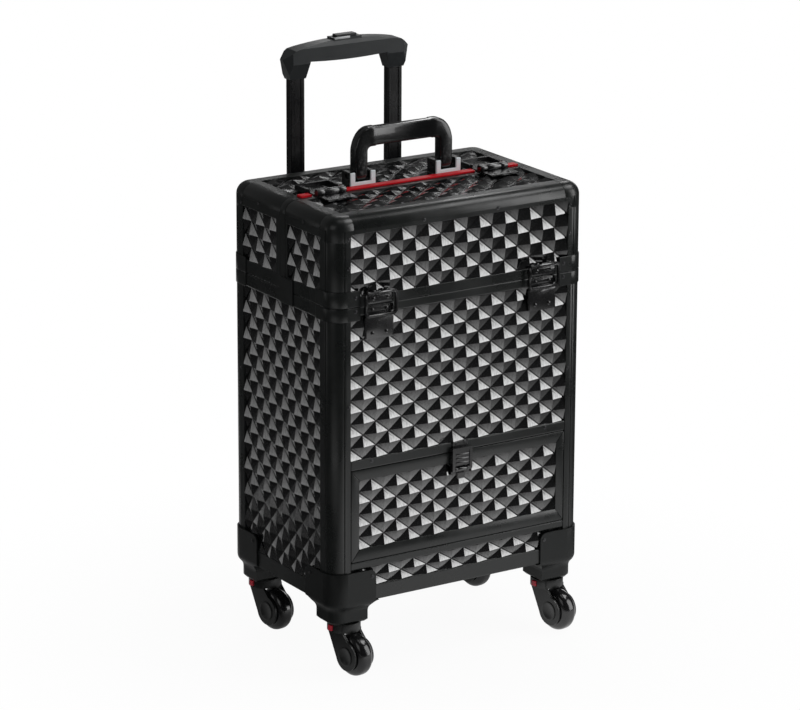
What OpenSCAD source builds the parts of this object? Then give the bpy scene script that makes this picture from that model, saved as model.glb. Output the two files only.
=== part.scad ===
/* [Case] */
// Width of the case
case_w = 343; // [310:1:380]
// Depth of the case, front face to rear face
case_d = 226; // [205:1:250]
// Height of the body, underside to lid seam
body_h = 353; // [320:1:390]
// Height of the lid and of the rear hood above the seam
lid_h = 104; // [92:1:120]
// Radius of the upright edges
edge_r = 19; // [18:0.5:21]
// Radius of the top edges
top_r = 15; // [12:0.5:17]
// Thickness of the frame profiles
frame_t = 6; // [5:0.5:8]
// Thickness of the panels held by the frame
panel_t = 5; // [3:0.5:5]
// Clearance of the seams that open
seam_gap = 0.4; // [0.3:0.1:0.8]

/* [Diamond relief] */
// Height of the pyramids from valley to tip
relief_h = 3; // [1:0.25:3]
// Width of a relief cell on the front, rear and top panels
relief_w = 16.9; // [10:0.1:30]
// Height of a relief cell on the front, rear and top panels
relief_rise = 14.3; // [10:0.1:30]
// Depth of a relief cell along the side panels
relief_side_w = 14; // [10:0.1:30]
// Height of a relief cell on the side panels
relief_side_rise = 16; // [10:0.1:30]

/* [Seam corner plates] */
// Length of each leg of a seam corner plate
corner_leg = 36; // [30:1:38]
// Height of the seam corner plates on the lid and the hood
corner_up = 19; // [14:1:24]
// Height of the seam corner plates on the body
corner_down = 16; // [12:1:24]
// Thickness of the seam corner plates
corner_t = 1; // [0.8:0.1:1.4]

/* [Frame profiles] */
// Width of an upright post on the front and rear faces
post_front = 24; // [22:0.5:28]
// Width of an upright post on the side faces
post_side = 28; // [26:0.5:34]
// Height of the seam rails on the front and rear faces
seam_rail_front = 11; // [8:0.5:14]
// Height of the seam rails on the side faces
seam_rail_side = 16; // [9:0.5:20]
// Height of the top rail on the front and rear faces
top_rail = 20; // [18:0.5:24]
// Height of the top rail on the side faces
top_rail_side = 25; // [18:0.5:27]
// Width of the top rail on the top face
top_border = 26; // [22:0.5:30]
// Height of the bottom rail
bottom_rail = 19; // [12:0.5:22]
// Width of the profile beside the centre arch
arch_rail = 4.5; // [3:0.5:8]
// Thickness of the body floor and of the deck over the drawer
deck_t = 5; // [4:0.5:8]
// Distance of the fine grooves in the posts from the case sides
groove_in = 15.5; // [12:0.5:17]
// Width of the fine grooves in the posts
groove_w = 0.8; // [0.4:0.1:1.2]

/* [Centre arch and hinges] */
// Width of the fixed arch between lid and hood
arch_w = 11; // [8:0.5:14]
// Length of the arch's foot plate along the seam
arch_foot_l = 29; // [20:1:34]
// Height that the foot plate reaches above and below the seam
arch_foot_h = 15; // [10:0.5:18]
// Thickness of the foot plate
arch_foot_t = 1.2; // [1:0.1:1.8]
// Width of the red trim on top of the arch
trim_w = 10; // [6:0.5:11]
// Height of the red trim
trim_h = 2.5; // [1.5:0.5:4]
// Distance of each top hinge and front latch from the case side
fitting_in = 60.5; // [60:0.5:68]
// Width of a hinge or latch plate
fitting_w = 38; // [32:1:40]
// Length of a hinge leaf on the lid
leaf_l = 27; // [22:1:32]
// Radius of the hinge barrel
barrel_r = 4; // [3.2:0.1:4.6]
// Radius of the hinge pin
hinge_pin_r = 1.75; // [1.4:0.05:2.1]
// Thickness of the riveted plates
plate_t = 1.6; // [1.2:0.1:2]

/* [Latches] */
// Height of the latch lever
lever_h = 30; // [28:1:44]
// Height of the catch plate below the seam
catch_l = 40; // [36:1:50]
// Width of the bars of the lever frame
lever_bar = 4.6; // [4:0.2:5]
// Thickness of the lever frame
lever_t = 5; // [4:0.5:6]
// Radius of the lever's pivot pin
lever_pin_r = 1.8; // [1.4:0.1:2]
// Height of the drawer latch lever
drawer_lever_h = 32; // [28:1:32]
// Width of the drawer latch lever
drawer_lever_w = 27; // [22:1:32]

/* [Drawer] */
// Height of the drawer front
drawer_h = 110; // [96:1:116]
// Height of the fixed sill under the drawer, underside of the case to the drawer
sill_h = 50; // [44:1:54]
// Height of the divider rail above the drawer
divider_h = 12; // [9:0.5:16]
// Width of the drawer front's border at its sides
drawer_border_side = 11; // [8:0.5:14]
// Width of the drawer front's border at its top
drawer_border_top = 13; // [9:0.5:15]
// Width of the drawer front's border at its bottom
drawer_border_bottom = 15; // [9:0.5:17]
// Wall of the drawer box
drawer_wall = 4; // [3:0.5:6]
// Clearance between the drawer box and the rear wall
drawer_clear = 14; // [4:1:50]
// Thickness of the side runners
runner_h = 8; // [5:0.5:8]

/* [Carry handle] */
// Outer width of the carry handle
handle_w = 132; // [120:1:146]
// Height of the handle's top above the case
handle_top = 67; // [58:1:76]
// Thickness of the handle, front to back
handle_t = 15; // [12:0.5:16]
// Height of the grip bar
grip_bar_h = 21; // [16:0.5:24]
// Outer corner radius of the handle
handle_r = 24; // [18:0.5:28]
// Distance of the handle behind the arch
handle_back = 13; // [12:0.5:20]
// Width of a handle bracket
bracket_w = 33; // [31:0.5:38]
// Height of a handle bracket
bracket_h = 17; // [16:0.5:20]
// Width of each arm of a handle bracket
bracket_arm = 5.6; // [4.5:0.2:7]
// Radius of the handle's pivot pins
handle_pin_r = 3; // [2.5:0.25:3.5]

/* [Trolley] */
// Distance of each tube from the middle
tube_x = 67.5; // [58:0.5:76]
// Width of a tube
tube_w = 19.5; // [16:0.5:22]
// Depth of a tube
tube_d = 11; // [8:0.5:13]
// Corner radius of a tube
tube_r = 1.5; // [0.8:0.1:3]
// Width of the flute in a tube's front and rear faces
flute_w = 9; // [4:0.5:12]
// Depth of the flutes
flute_d = 0.7; // [0.3:0.1:0.9]
// Distance of the tubes behind the rear face
tube_back = 26; // [17:0.5:30]
// Clearance between tube and sleeve
tube_gap = 0.5; // [0.3:0.1:0.8]
// Wall of the outer sleeve
sleeve_wall = 2; // [1.5:0.25:2.5]
// Height of the grip's top above the case top, half drawn out
grip_rise = 144; // [120:1:170]
// Distance of the sleeves' upper ends below the case top
sleeve_below_top = 17; // [15:1:30]
// Height of the grip bar
grip_h = 24; // [18:1:27]
// Depth of the grip bar
grip_d = 22; // [18:1:26]
// Overall width of the grip
grip_w = 173; // [164:1:190]
// Radius of the grip's crowned top
crown_r = 350; // [250:10:900]
// Length of the grip's leg sockets under the bar
socket_h = 18; // [12:1:24]
// Length of the push button
button_l = 28; // [20:1:34]
// Travel of the push button
button_travel = 3; // [2:0.5:4]

/* [Casters] */
// Diameter of a wheel
wheel_dia = 50; // [44:1:56]
// Width of a wheel
wheel_w = 20; // [14:0.5:21]
// Distance of the axle behind the swivel
trail = 20; // [14:0.5:22]
// Angle at which the wheels trail
trail_angle = 7; // [-30:1:30]
// Height of the swivel housing
housing_h = 10.5; // [10:0.5:14]
// Diameter of the swivel housing
housing_dia = 39; // [36:0.5:41]
// Inset of the swivels from the case sides
swivel_in_x = 29.5; // [27:0.5:33]
// Inset of the swivels from the front and rear faces
swivel_in_y = 24; // [22:0.5:28]
// Height of the foot below the case
foot_drop = 26; // [24:0.5:30]
// Height that the foot bracket reaches up the case
foot_up = 38; // [30:1:42]
// Length of the foot bracket along the case's front
foot_front = 57; // [50:1:62]
// Length of the foot bracket along the case's side
foot_side = 58; // [50:1:64]
// Thickness of the foot bracket on the case's faces
foot_t = 2; // [1.5:0.25:3]
// Inset of the foot's neck from the case's faces
neck_in = 5; // [3:0.5:7]
// Reach of the foot's neck past the swivel housing on its far sides
neck_past = 1; // [0:0.5:3]
// Radius of the swivel stem
stem_r = 5; // [4:0.25:6]
// Radius of the axle
axle_r = 3; // [2.5:0.25:3.5]

/* [Rivets] */
// Radius of a rivet head
rivet_r = 2.3; // [1.5:0.1:2.6]
// Height of a rivet head
rivet_h = 0.9; // [0.6:0.1:1.2]

/* [Hidden] */

$fn = 64;
touch = 0.01;
cut = 1;
face_gap = 0.3;
shaft_gap = 0.05;

wheel_r = wheel_dia / 2;
wheel_gap = 1;
housing_z = wheel_dia + wheel_gap;
foot_z = housing_z + housing_h + face_gap;
base_z = foot_z + foot_drop;
seam_z = base_z + body_h;
top_z = seam_z + lid_h;
half_w = case_w / 2;
inner_x = half_w - frame_t;
rivet_edge = 7;
post_x = half_w - post_front;
fitting_x = half_w - fitting_in;

arch_y = case_d / 2 + 1 - arch_w;
arch_back = arch_y + arch_w;
lid_back = arch_y - seam_gap;
lid_panel_back = lid_back - arch_rail;
hood_panel_front = arch_back + arch_rail * 2;

drawer_z = base_z + sill_h;
drawer_top = drawer_z + drawer_h;
divider_z = drawer_top + seam_gap;
body_panel_z = divider_z + divider_h;
strip_z = base_z + bottom_rail;
sill_rail = 9;
strip_top = drawer_z - seam_gap - sill_rail;

hinge_y = arch_y;
barrel_sink = 1.2;
hinge_z = top_z + plate_t + barrel_r - barrel_sink;

tube_y = case_d + tube_back;
sleeve_w = tube_w + 2 * (tube_gap + sleeve_wall);
sleeve_d = tube_d + 2 * (tube_gap + sleeve_wall);
sleeve_r = tube_r + tube_gap + sleeve_wall;
grip_top = top_z + grip_rise;
grip_z = grip_top - grip_h;
socket_z = grip_z - socket_h;
sleeve_lift = 28;
sleeve_z = base_z + sleeve_lift;
sleeve_top = top_z - sleeve_below_top;
retract = socket_z - sleeve_top - face_gap * 2;
tube_end_gap = 6;
tube_z = sleeve_z + retract + tube_end_gap;

swivel_x = half_w - swivel_in_x;
stem_cover = 6;
cheek_t = 3.2;
cheek_gap = 0.8;
cheek_x = wheel_w / 2 + cheek_gap;

// The case stands with its front face at Y = 0 in the modules below.
// place() moves it so that the origin is under the middle of the whole.
tyre_flat = 4;
tyre_round = (wheel_w - tyre_flat) / 2;
wheel_reach = (wheel_r - tyre_round) * cos(trail_angle) + tyre_round
    + (wheel_w / 2 - tyre_round) * sin(abs(trail_angle));
front_reach = trail * cos(trail_angle) + wheel_reach - swivel_in_y;
rear_reach = case_d + tube_back + grip_d / 2;
middle_y = (rear_reach - front_reach) / 2;

module place() {
    translate([0, -middle_y, 0])
        children();
}

module mirror_x() {
    children();
    mirror([1, 0, 0])
        children();
}

module block(x, y, z) {
    translate([x[0], y[0], z[0]])
        cube([x[1] - x[0], y[1] - y[0], z[1] - z[0]]);
}

module round_plan(w, d, r) {
    translate([-w / 2 + r, 0])
        square([w - 2 * r, d]);
    translate([-w / 2, r])
        square([w, d - 2 * r]);
    for (x = [-w / 2 + r, w / 2 - r], y = [r, d - r])
        translate([x, y])
            circle(r = r);
}

module round_rect(w, h, r) {
    translate([0, -h / 2])
        round_plan(w, h, r);
}

// Plan of the space inside the frame profiles
module inner_plan() {
    translate([0, frame_t])
        round_plan(case_w - 2 * frame_t, case_d - 2 * frame_t, edge_r - frame_t);
}

// Top corner, round in plan and rolled over at the top
module rolled_corner() {
    flat = edge_r - top_r;
    rotate_extrude() {
        square([flat, top_r]);
        intersection() {
            translate([flat, 0])
                circle(r = top_r);
            translate([flat, 0])
                square(top_r);
        }
    }
}

// Case outline with rounded upright and top edges
module outer_form(z0, z1) {
    translate([0, 0, z0])
        linear_extrude(height = z1 - z0 - top_r)
            round_plan(case_w, case_d, edge_r);
    translate([0, top_r, z0])
        linear_extrude(height = z1 - z0)
            round_plan(case_w - 2 * top_r, case_d - 2 * top_r, edge_r - top_r);
    for (y = [top_r, case_d - top_r])
        translate([edge_r - half_w, y, z1 - top_r])
            rotate([0, 90, 0])
                cylinder(r = top_r, h = case_w - 2 * edge_r);
    for (x = [top_r - half_w, half_w - top_r])
        translate([x, edge_r, z1 - top_r])
            rotate([-90, 0, 0])
                cylinder(r = top_r, h = case_d - 2 * edge_r);
    for (x = [edge_r - half_w, half_w - edge_r], y = [edge_r, case_d - edge_r])
        translate([x, y, z1 - top_r])
            rolled_corner();
}

// Fine grooves beside the round edges, in the front, rear and side faces
module post_grooves(z0, z1) {
    depth = edge_r - sqrt(pow(edge_r, 2) - pow(edge_r - groove_in, 2)) + groove_w;
    mirror_x() {
        for (y = [[-cut, depth], [case_d - depth, case_d + cut]])
            block([half_w - groove_in - groove_w, half_w - groove_in], y, [z0, z1]);
        for (y = [groove_in, case_d - groove_in - groove_w])
            block([half_w - depth, half_w + cut], [y, y + groove_w], [z0, z1]);
    }
}

module upper_shell() {
    difference() {
        outer_form(seam_z + seam_gap, top_z);
        translate([0, 0, seam_z - cut])
            linear_extrude(height = lid_h - frame_t + cut)
                inner_plan();
        post_grooves(seam_z - cut, top_z - top_r);
    }
}

module top_window(y0, y1) {
    block([top_border - half_w, half_w - top_border], [y0, y1], [top_z - frame_t - cut, top_z + cut]);
}

module side_window(y0, y1) {
    z = [seam_z + seam_rail_side, top_z - top_rail_side];
    block([-half_w - cut, half_w + cut], [y0, y1], z);
}

module face_window(y) {
    block([-post_x, post_x], y, [seam_z + seam_rail_front, top_z - top_rail]);
}

// Space of the two moulded caps on the round corners of the top
module cap_space(y) {
    mirror_x()
        block([half_w - post_side, half_w + cut], y, [top_z - post_side, top_z + cut]);
}

// Diamond relief

// Sheet of size w by h, thickness panel_t, with its pyramids towards +Z
module relief_sheet(w, h, cell_w, cell_h) {
    nx = max(1, round(w / cell_w));
    ny = max(1, round(h / cell_h));
    row = nx + 1;
    count = row * (ny + 1);
    grid = [for (j = [0:ny], i = [0:nx])
        [i * w / nx, j * h / ny, panel_t - ((i + j) % 2 == 0 ? 0 : relief_h)]];
    rim = [
        for (i = [0:nx - 1]) i,
        for (j = [0:ny - 1]) j * row + nx,
        for (i = [0:nx - 1]) count - 1 - i,
        for (j = [0:ny - 1]) (ny - j) * row
    ];
    around = len(rim);
    base = [for (k = rim) [grid[k][0], grid[k][1], 0]];
    middle = count + around;
    cells = [for (j = [0:ny - 1], i = [0:nx - 1])
        let (a = j * row + i, b = a + 1, c = a + row, d = c + 1)
        each ((i + j) % 2 == 0 ? [[a, c, b], [b, c, d]] : [[a, d, b], [a, c, d]])];
    walls = [for (k = [0:around - 1])
        let (n = (k + 1) % around, low = count + k, low_next = count + n)
        each [[low, rim[k], rim[n]], [low, rim[n], low_next], [middle, low, low_next]]];
    polyhedron(points = concat(grid, base, [[w / 2, h / 2, 0]]), faces = concat(cells, walls));
}

module front_relief(x, z) {
    translate([x[0], panel_t, z[0]])
        rotate([90, 0, 0])
            relief_sheet(x[1] - x[0], z[1] - z[0], relief_w, relief_rise);
}

module back_relief(x, z) {
    translate([0, case_d, 0])
        mirror([0, 1, 0])
            front_relief(x, z);
}

module top_relief(x, y) {
    translate([x[0], y[0], top_z - panel_t])
        relief_sheet(x[1] - x[0], y[1] - y[0], relief_w, relief_rise);
}

module side_relief(y, z) {
    mirror_x()
        translate([half_w - panel_t, y[0], z[0]])
            rotate([90, 0, 90])
                relief_sheet(y[1] - y[0], z[1] - z[0], relief_side_w, relief_side_rise);
}

// Body

module body_front_panel() {
    color("#1b1b1d")
        front_relief([-post_x, post_x], [body_panel_z, seam_z - seam_rail_front]);
}

module body_side_panels() {
    color("#1b1b1d")
        side_relief([post_side, case_d - post_side], [strip_z, seam_z - seam_rail_side]);
}

module body_back_panel() {
    color("#1b1b1d")
        back_relief([-post_x, post_x], [strip_z, seam_z - seam_rail_front]);
}

// Board with a shallow recess over each foot, so that it rests on what lies between the feet
module body_floor() {
    color("#242426")
        difference() {
            translate([0, 0, base_z])
                linear_extrude(height = deck_t)
                    inner_plan();
            for (y = [[-cut, recess_y], [case_d - recess_y, case_d + cut]])
                mirror_x()
                    block([half_w - recess_x, half_w], y, [base_z - cut, base_z + foot_recess]);
        }
}

module drawer_deck() {
    color("#242426")
        difference() {
            translate([0, 0, divider_z])
                linear_extrude(height = deck_t)
                    inner_plan();
            mirror_x()
                block([post_x, half_w], [0, post_side], [divider_z - cut, divider_z + deck_t + cut]);
        }
}

module lower_front_panel() {
    color("#1b1b1d")
        front_relief([-post_x, post_x], [strip_z, strip_top]);
}

// Upright corner profiles, round outside
module body_posts() {
    color("#202023")
        difference() {
            translate([0, 0, base_z])
                linear_extrude(height = body_h)
                    difference() {
                        round_plan(case_w, case_d, edge_r);
                        inner_plan();
                        translate([-post_x, -cut])
                            square([2 * post_x, case_d + 2 * cut]);
                        translate([-half_w - cut, post_side])
                            square([case_w + 2 * cut, case_d - 2 * post_side]);
                    }
            post_grooves(base_z - cut, seam_z + cut);
        }
}

// Plates that wrap the case's round corners beside the seam
module seam_plates(y, z) {
    leg = corner_leg + corner_t;
    intersection() {
        translate([0, -corner_t, z[0]])
            linear_extrude(height = z[1] - z[0])
                difference() {
                    round_plan(case_w + 2 * corner_t, case_d + 2 * corner_t, edge_r + corner_t);
                    translate([0, corner_t])
                        round_plan(case_w, case_d, edge_r);
                }
        mirror_x()
            block([half_w + corner_t - leg, half_w + corner_t], y, z);
    }
}

module front_seam_plates(z) {
    seam_plates([-corner_t, corner_leg], z);
}

module rear_seam_plates(z) {
    seam_plates([case_d - corner_leg, case_d + corner_t], z);
}

module case_seam_corners() {
    color("#242427") {
        front_seam_plates([seam_z - corner_down, seam_z - seam_gap]);
        rear_seam_plates([seam_z - corner_down, seam_z]);
        rear_seam_plates([seam_z + seam_gap, seam_z + corner_up]);
    }
}

module lid_seam_corners() {
    color("#242427")
        front_seam_plates([seam_z + seam_gap, seam_z + corner_up]);
}

module face_rails(y) {
    block([-post_x, post_x], y, [base_z, strip_z]);
    block([-post_x, post_x], y, [seam_z - seam_rail_front, seam_z]);
}

module body_rails() {
    color("#242427") {
        face_rails([0, frame_t]);
        face_rails([case_d - frame_t, case_d]);
        block([-post_x, post_x], [0, frame_t], [strip_top, drawer_z - seam_gap]);
        block([-post_x, post_x], [0, frame_t], [divider_z, body_panel_z]);
        for (z = [[base_z, strip_z], [seam_z - seam_rail_side, seam_z]])
            mirror_x()
                block([inner_x, half_w], [post_side, case_d - post_side], z);
    }
}

// Fixed rear hood

module hood_half() {
    intersection() {
        upper_shell();
        block([-case_w, case_w], [arch_back, case_d + cut], [seam_z, top_z + cut]);
    }
}

module hood_top_panel() {
    x = half_w - top_border;
    color("#1b1b1d")
        top_relief([-x, x], [hood_panel_front, case_d - top_border]);
}

module hood_side_panels() {
    color("#1b1b1d")
        side_relief([hood_panel_front, case_d - post_side], [seam_z + seam_rail_side, top_z - top_rail_side]);
}

module hood_back_panel() {
    color("#1b1b1d")
        back_relief([-post_x, post_x], [seam_z + seam_rail_front, top_z - top_rail]);
}

module hood_profiles() {
    difference() {
        hood_half();
        top_window(hood_panel_front, case_d - top_border);
        side_window(hood_panel_front, case_d - post_side);
        face_window([case_d - frame_t - cut, case_d + cut]);
    }
}

module hood_frame() {
    color("#202023")
        difference() {
            hood_profiles();
            cap_space([case_d - post_side, case_d + cut]);
        }
}

module hood_corner_caps() {
    color("#26262a")
        intersection() {
            hood_profiles();
            cap_space([case_d - post_side, case_d + cut]);
        }
}

// Fixed arch between lid and hood, with a foot plate over the seam at each side
module centre_arch() {
    color("#1e1e21") {
        intersection() {
            upper_shell();
            block([-case_w, case_w], [arch_y, arch_back], [seam_z, top_z + cut]);
        }
        mirror_x() {
            block([half_w + face_gap, half_w + face_gap + arch_foot_t],
                [arch_back - arch_foot_l, arch_back],
                [seam_z - arch_foot_h, seam_z + arch_foot_h]);
            block([half_w - touch, half_w + face_gap + touch], [arch_y, arch_back],
                [seam_z + seam_gap, seam_z + arch_foot_h]);
            block([half_w, half_w + face_gap + touch], [arch_back - arch_foot_l, arch_back],
                [seam_z - arch_foot_h, seam_z - face_gap]);
        }
    }
}

module arch_trim() {
    end_x = half_w - top_r - 8;
    y = [arch_back + 1 - trim_w, arch_back + 1];
    z = [top_z, top_z + trim_h];
    hinge_edge = fitting_w / 2 + 4;
    color("#b3202c") {
        block([hinge_edge - fitting_x, fitting_x - hinge_edge], y, z);
        mirror_x()
            block([fitting_x + hinge_edge, end_x], y, z);
    }
}

// Top hinges

module rivet(r = rivet_r) {
    cylinder(r1 = r, r2 = r * 0.62, h = rivet_h);
}

module hinge_rod(x0, x1, r) {
    translate([x0, hinge_y, hinge_z])
        rotate([0, 90, 0])
            cylinder(r = r, h = x1 - x0);
}

module hinge_fixed_leaf() {
    half = fitting_w / 2;
    knuckle = fitting_w / 4;
    y = [arch_y + 0.5, arch_back + leaf_l - 1];
    difference() {
        union() {
            block([-half, half], y, [top_z, top_z + plate_t]);
            for (side = [-1, 1])
                translate([side * (half - knuckle / 2) - knuckle / 2, 0, 0]) {
                    hinge_rod(0, knuckle, barrel_r);
                    block([0, knuckle], [hinge_y, hinge_y + barrel_r], [top_z, hinge_z]);
                }
        }
        hinge_rod(knuckle - half - 0.2, half - knuckle + 0.2, barrel_r + 0.4);
    }
    hinge_rod(-half + 1, half - 1, hinge_pin_r);
    for (side = [-1, 1])
        translate([side * (half + 2), 0, 0])
            block([-2, 2], [arch_back + trim_w / 4, y[1] + 4], [top_z, top_z + plate_t * 4]);
    block([-half, half], [y[1], y[1] + 4], [top_z, top_z + plate_t * 4]);
    for (x = [-half / 2, half / 2])
        translate([x, y[1] - rivet_edge, top_z + plate_t])
            rivet();
}

module hinge_fixed_leaves() {
    color("#2c2c30")
        for (x = [-fitting_x, fitting_x])
            translate([x, 0, 0])
                hinge_fixed_leaf();
}

module hinge_lid_leaf() {
    half = fitting_w / 2;
    knuckle = fitting_w / 4;
    inner = half - knuckle - 0.1;
    difference() {
        union() {
            block([-half, half], [hinge_y - leaf_l, hinge_y - barrel_r - 0.6], [top_z, top_z + plate_t]);
            block([-inner, inner], [hinge_y - barrel_r - 1, hinge_y - seam_gap - 0.2], [top_z, top_z + plate_t]);
            hinge_rod(-inner, inner, barrel_r);
        }
        hinge_rod(-half, half, hinge_pin_r + shaft_gap);
    }
    for (x = [-half / 2, half / 2])
        translate([x, hinge_y - leaf_l + rivet_edge, top_z + plate_t])
            rivet();
}

module hinge_lid_leaves() {
    color("#2c2c30")
        for (x = [-fitting_x, fitting_x])
            translate([x, 0, 0])
                hinge_lid_leaf();
}

// Front half of the lid

module lid_half() {
    intersection() {
        upper_shell();
        block([-case_w, case_w], [-cut, lid_back], [seam_z, top_z + cut]);
    }
}

module lid_top_panel() {
    x = half_w - top_border;
    color("#1b1b1d")
        top_relief([-x, x], [top_border, lid_panel_back]);
}

module lid_front_panel() {
    color("#1b1b1d")
        front_relief([-post_x, post_x], [seam_z + seam_rail_front, top_z - top_rail]);
}

module lid_side_panels() {
    color("#1b1b1d")
        side_relief([post_side, lid_panel_back], [seam_z + seam_rail_side, top_z - top_rail_side]);
}

module lid_profiles() {
    difference() {
        lid_half();
        top_window(top_border, lid_panel_back);
        side_window(post_side, lid_panel_back);
        face_window([-cut, frame_t + cut]);
    }
}

module lid_frame() {
    color("#202023")
        difference() {
            lid_profiles();
            cap_space([-cut, post_side]);
        }
}

module lid_corner_caps() {
    color("#26262a")
        intersection() {
            lid_profiles();
            cap_space([-cut, post_side]);
        }
}

// Front latches: lever on the lid, catch on the body

lever_up = 14;
lever_stand = 2.2;
latch_ear_half = 3;
lever_z = seam_z + lever_up;
lever_y = -plate_t - lever_pin_r - lever_stand;
lever_half = fitting_w / 2 + 2.5;
ear_w = 3;
ear_x = lever_half - lever_bar - ear_w - 0.4;
claw_z = lever_z + latch_ear_half - lever_h;

module cross_rod(x0, x1, y, z, r) {
    translate([x0, y, z])
        rotate([0, 90, 0])
            cylinder(r = r, h = x1 - x0);
}

module lid_latch_plate() {
    half = fitting_w / 2;
    difference() {
        union() {
            block([-half, half], [-plate_t, 0], [seam_z + 2, lever_z + latch_ear_half]);
            for (x = [-ear_x - ear_w, ear_x]) {
                cross_rod(x, x + ear_w, lever_y, lever_z, lever_pin_r + 1.6);
                block([x, x + ear_w], [lever_y, 0], [lever_z - latch_ear_half, lever_z + latch_ear_half]);
            }
        }
        cross_rod(-lever_half, lever_half, lever_y, lever_z, lever_pin_r + shaft_gap);
    }
    for (x = [-half / 2, half / 2])
        translate([x, -plate_t, seam_z + 8])
            rotate([90, 0, 0])
                rivet();
}

module lid_latch_plates() {
    color("#2a2a2e")
        for (x = [-fitting_x, fitting_x])
            translate([x, 0, 0])
                lid_latch_plate();
}

module lid_lever() {
    back = lever_y + lever_t / 2;
    front = back - lever_t;
    for (side = [-1, 1])
        translate([side * (lever_half - lever_bar / 2), 0, 0]) {
            block([-lever_bar / 2, lever_bar / 2], [front, back], [claw_z, lever_z]);
            cross_rod(-lever_bar / 2, lever_bar / 2, lever_y, lever_z, lever_t / 2);
        }
    cross_rod(-lever_half + 1, lever_half - 1, lever_y, lever_z, lever_pin_r);
    cross_rod(-ear_x + 0.4, ear_x - 0.4, lever_y, lever_z, lever_t / 2 - 0.2);
    block([-lever_half, lever_half], [front, back], [claw_z, claw_z + lever_bar]);
    block([-fitting_w / 3, fitting_w / 3], [back - touch, -plate_t - face_gap], [claw_z, claw_z + 2.5]);
}

module lid_lever_left() {
    color("#333338")
        translate([-fitting_x, 0, 0])
            lid_lever();
}

module lid_lever_right() {
    color("#333338")
        translate([fitting_x, 0, 0])
            lid_lever();
}

catch_rivet_drop = 3.9;

module lid_catch() {
    half = fitting_w / 2;
    low = seam_z - catch_l;
    block([-half, half], [-plate_t, 0], [low, seam_z - 1]);
    block([-half + 2, half - 2], [-plate_t - 1, -plate_t + touch], [claw_z + 4.7, claw_z + 6.7]);
    for (x = [-half / 2, half / 2], z = [low + rivet_edge, seam_z - catch_rivet_drop])
        translate([x, -plate_t, z])
            rotate([90, 0, 0])
                rivet();
}

module lid_catches() {
    color("#2a2a2e")
        for (x = [-fitting_x, fitting_x])
            translate([x, 0, 0])
                lid_catch();
}

// Drawer

drawer_half = post_x - 0.7;
box_half = drawer_half - 4;
box_z = drawer_z + 4;
box_top = drawer_top - 8;

drawer_panel_x = drawer_half - drawer_border_side;
drawer_panel_span = [drawer_z + drawer_border_bottom, drawer_top - drawer_border_top];

module drawer_front_panel() {
    color("#1b1b1d")
        front_relief([-drawer_panel_x, drawer_panel_x], drawer_panel_span);
}

module drawer_front_frame() {
    color("#232326")
        difference() {
            block([-drawer_half, drawer_half], [0, frame_t], [drawer_z, drawer_top]);
            block([-drawer_panel_x, drawer_panel_x], [-cut, frame_t + cut], drawer_panel_span);
        }
}

module drawer_box() {
    y = [frame_t, case_d - frame_t - drawer_clear];
    color("#29292c")
        difference() {
            block([-box_half, box_half], y, [box_z, box_top]);
            block([drawer_wall - box_half, box_half - drawer_wall],
                [y[0] + drawer_wall, y[1] - drawer_wall],
                [box_z + drawer_wall, box_top + cut]);
        }
}

runner_w = 12;
runner_wall = 18;

// Ledges on the body's side walls that carry the drawer box
module drawer_runners() {
    y = [post_side + 0.5, case_d - post_side - 0.5];
    color("#3a3a3e")
        mirror_x() {
            block([box_half - runner_w, inner_x], y, [box_z - face_gap - runner_h, box_z - face_gap]);
            block([box_half + face_gap, inner_x], y, [box_z - face_gap - touch, box_z + runner_wall]);
        }
}

drawer_pivot_drop = 20;
drawer_pivot_z = drawer_top - drawer_pivot_drop;
drawer_pivot_y = -plate_t - 2.8;
drawer_pin_r = 1.5;
keeper_rivet_r = min(1.8, rivet_r);

module drawer_keeper() {
    half = drawer_lever_w / 2 - 3;
    color("#2a2a2e") {
        block([-half, half], [-plate_t, 0], [divider_z + 1, body_panel_z]);
        for (x = [-half / 1.8, half / 1.8])
            translate([x, -plate_t, body_panel_z - keeper_rivet_r - 0.3])
                rotate([90, 0, 0])
                    rivet(keeper_rivet_r);
    }
}

module drawer_latch_plate() {
    half = drawer_lever_w / 2 - 1;
    ear = half - 6;
    color("#2a2a2e")
        difference() {
            union() {
                block([-half, half], [-plate_t, 0], [drawer_top - drawer_border_top - 14, drawer_top - 1]);
                block([-5, 5], [-plate_t - 2, 0], [drawer_top - drawer_border_top - 19, drawer_pivot_z - 5]);
                for (x = [-ear - ear_w, ear]) {
                    cross_rod(x, x + ear_w, drawer_pivot_y, drawer_pivot_z, drawer_pin_r + 1.2);
                    block([x, x + ear_w], [drawer_pivot_y, 0], [drawer_pivot_z - 2.5, drawer_pivot_z + 2.5]);
                }
            }
            cross_rod(-half - cut, half + cut, drawer_pivot_y, drawer_pivot_z, drawer_pin_r + shaft_gap);
        }
}

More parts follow.
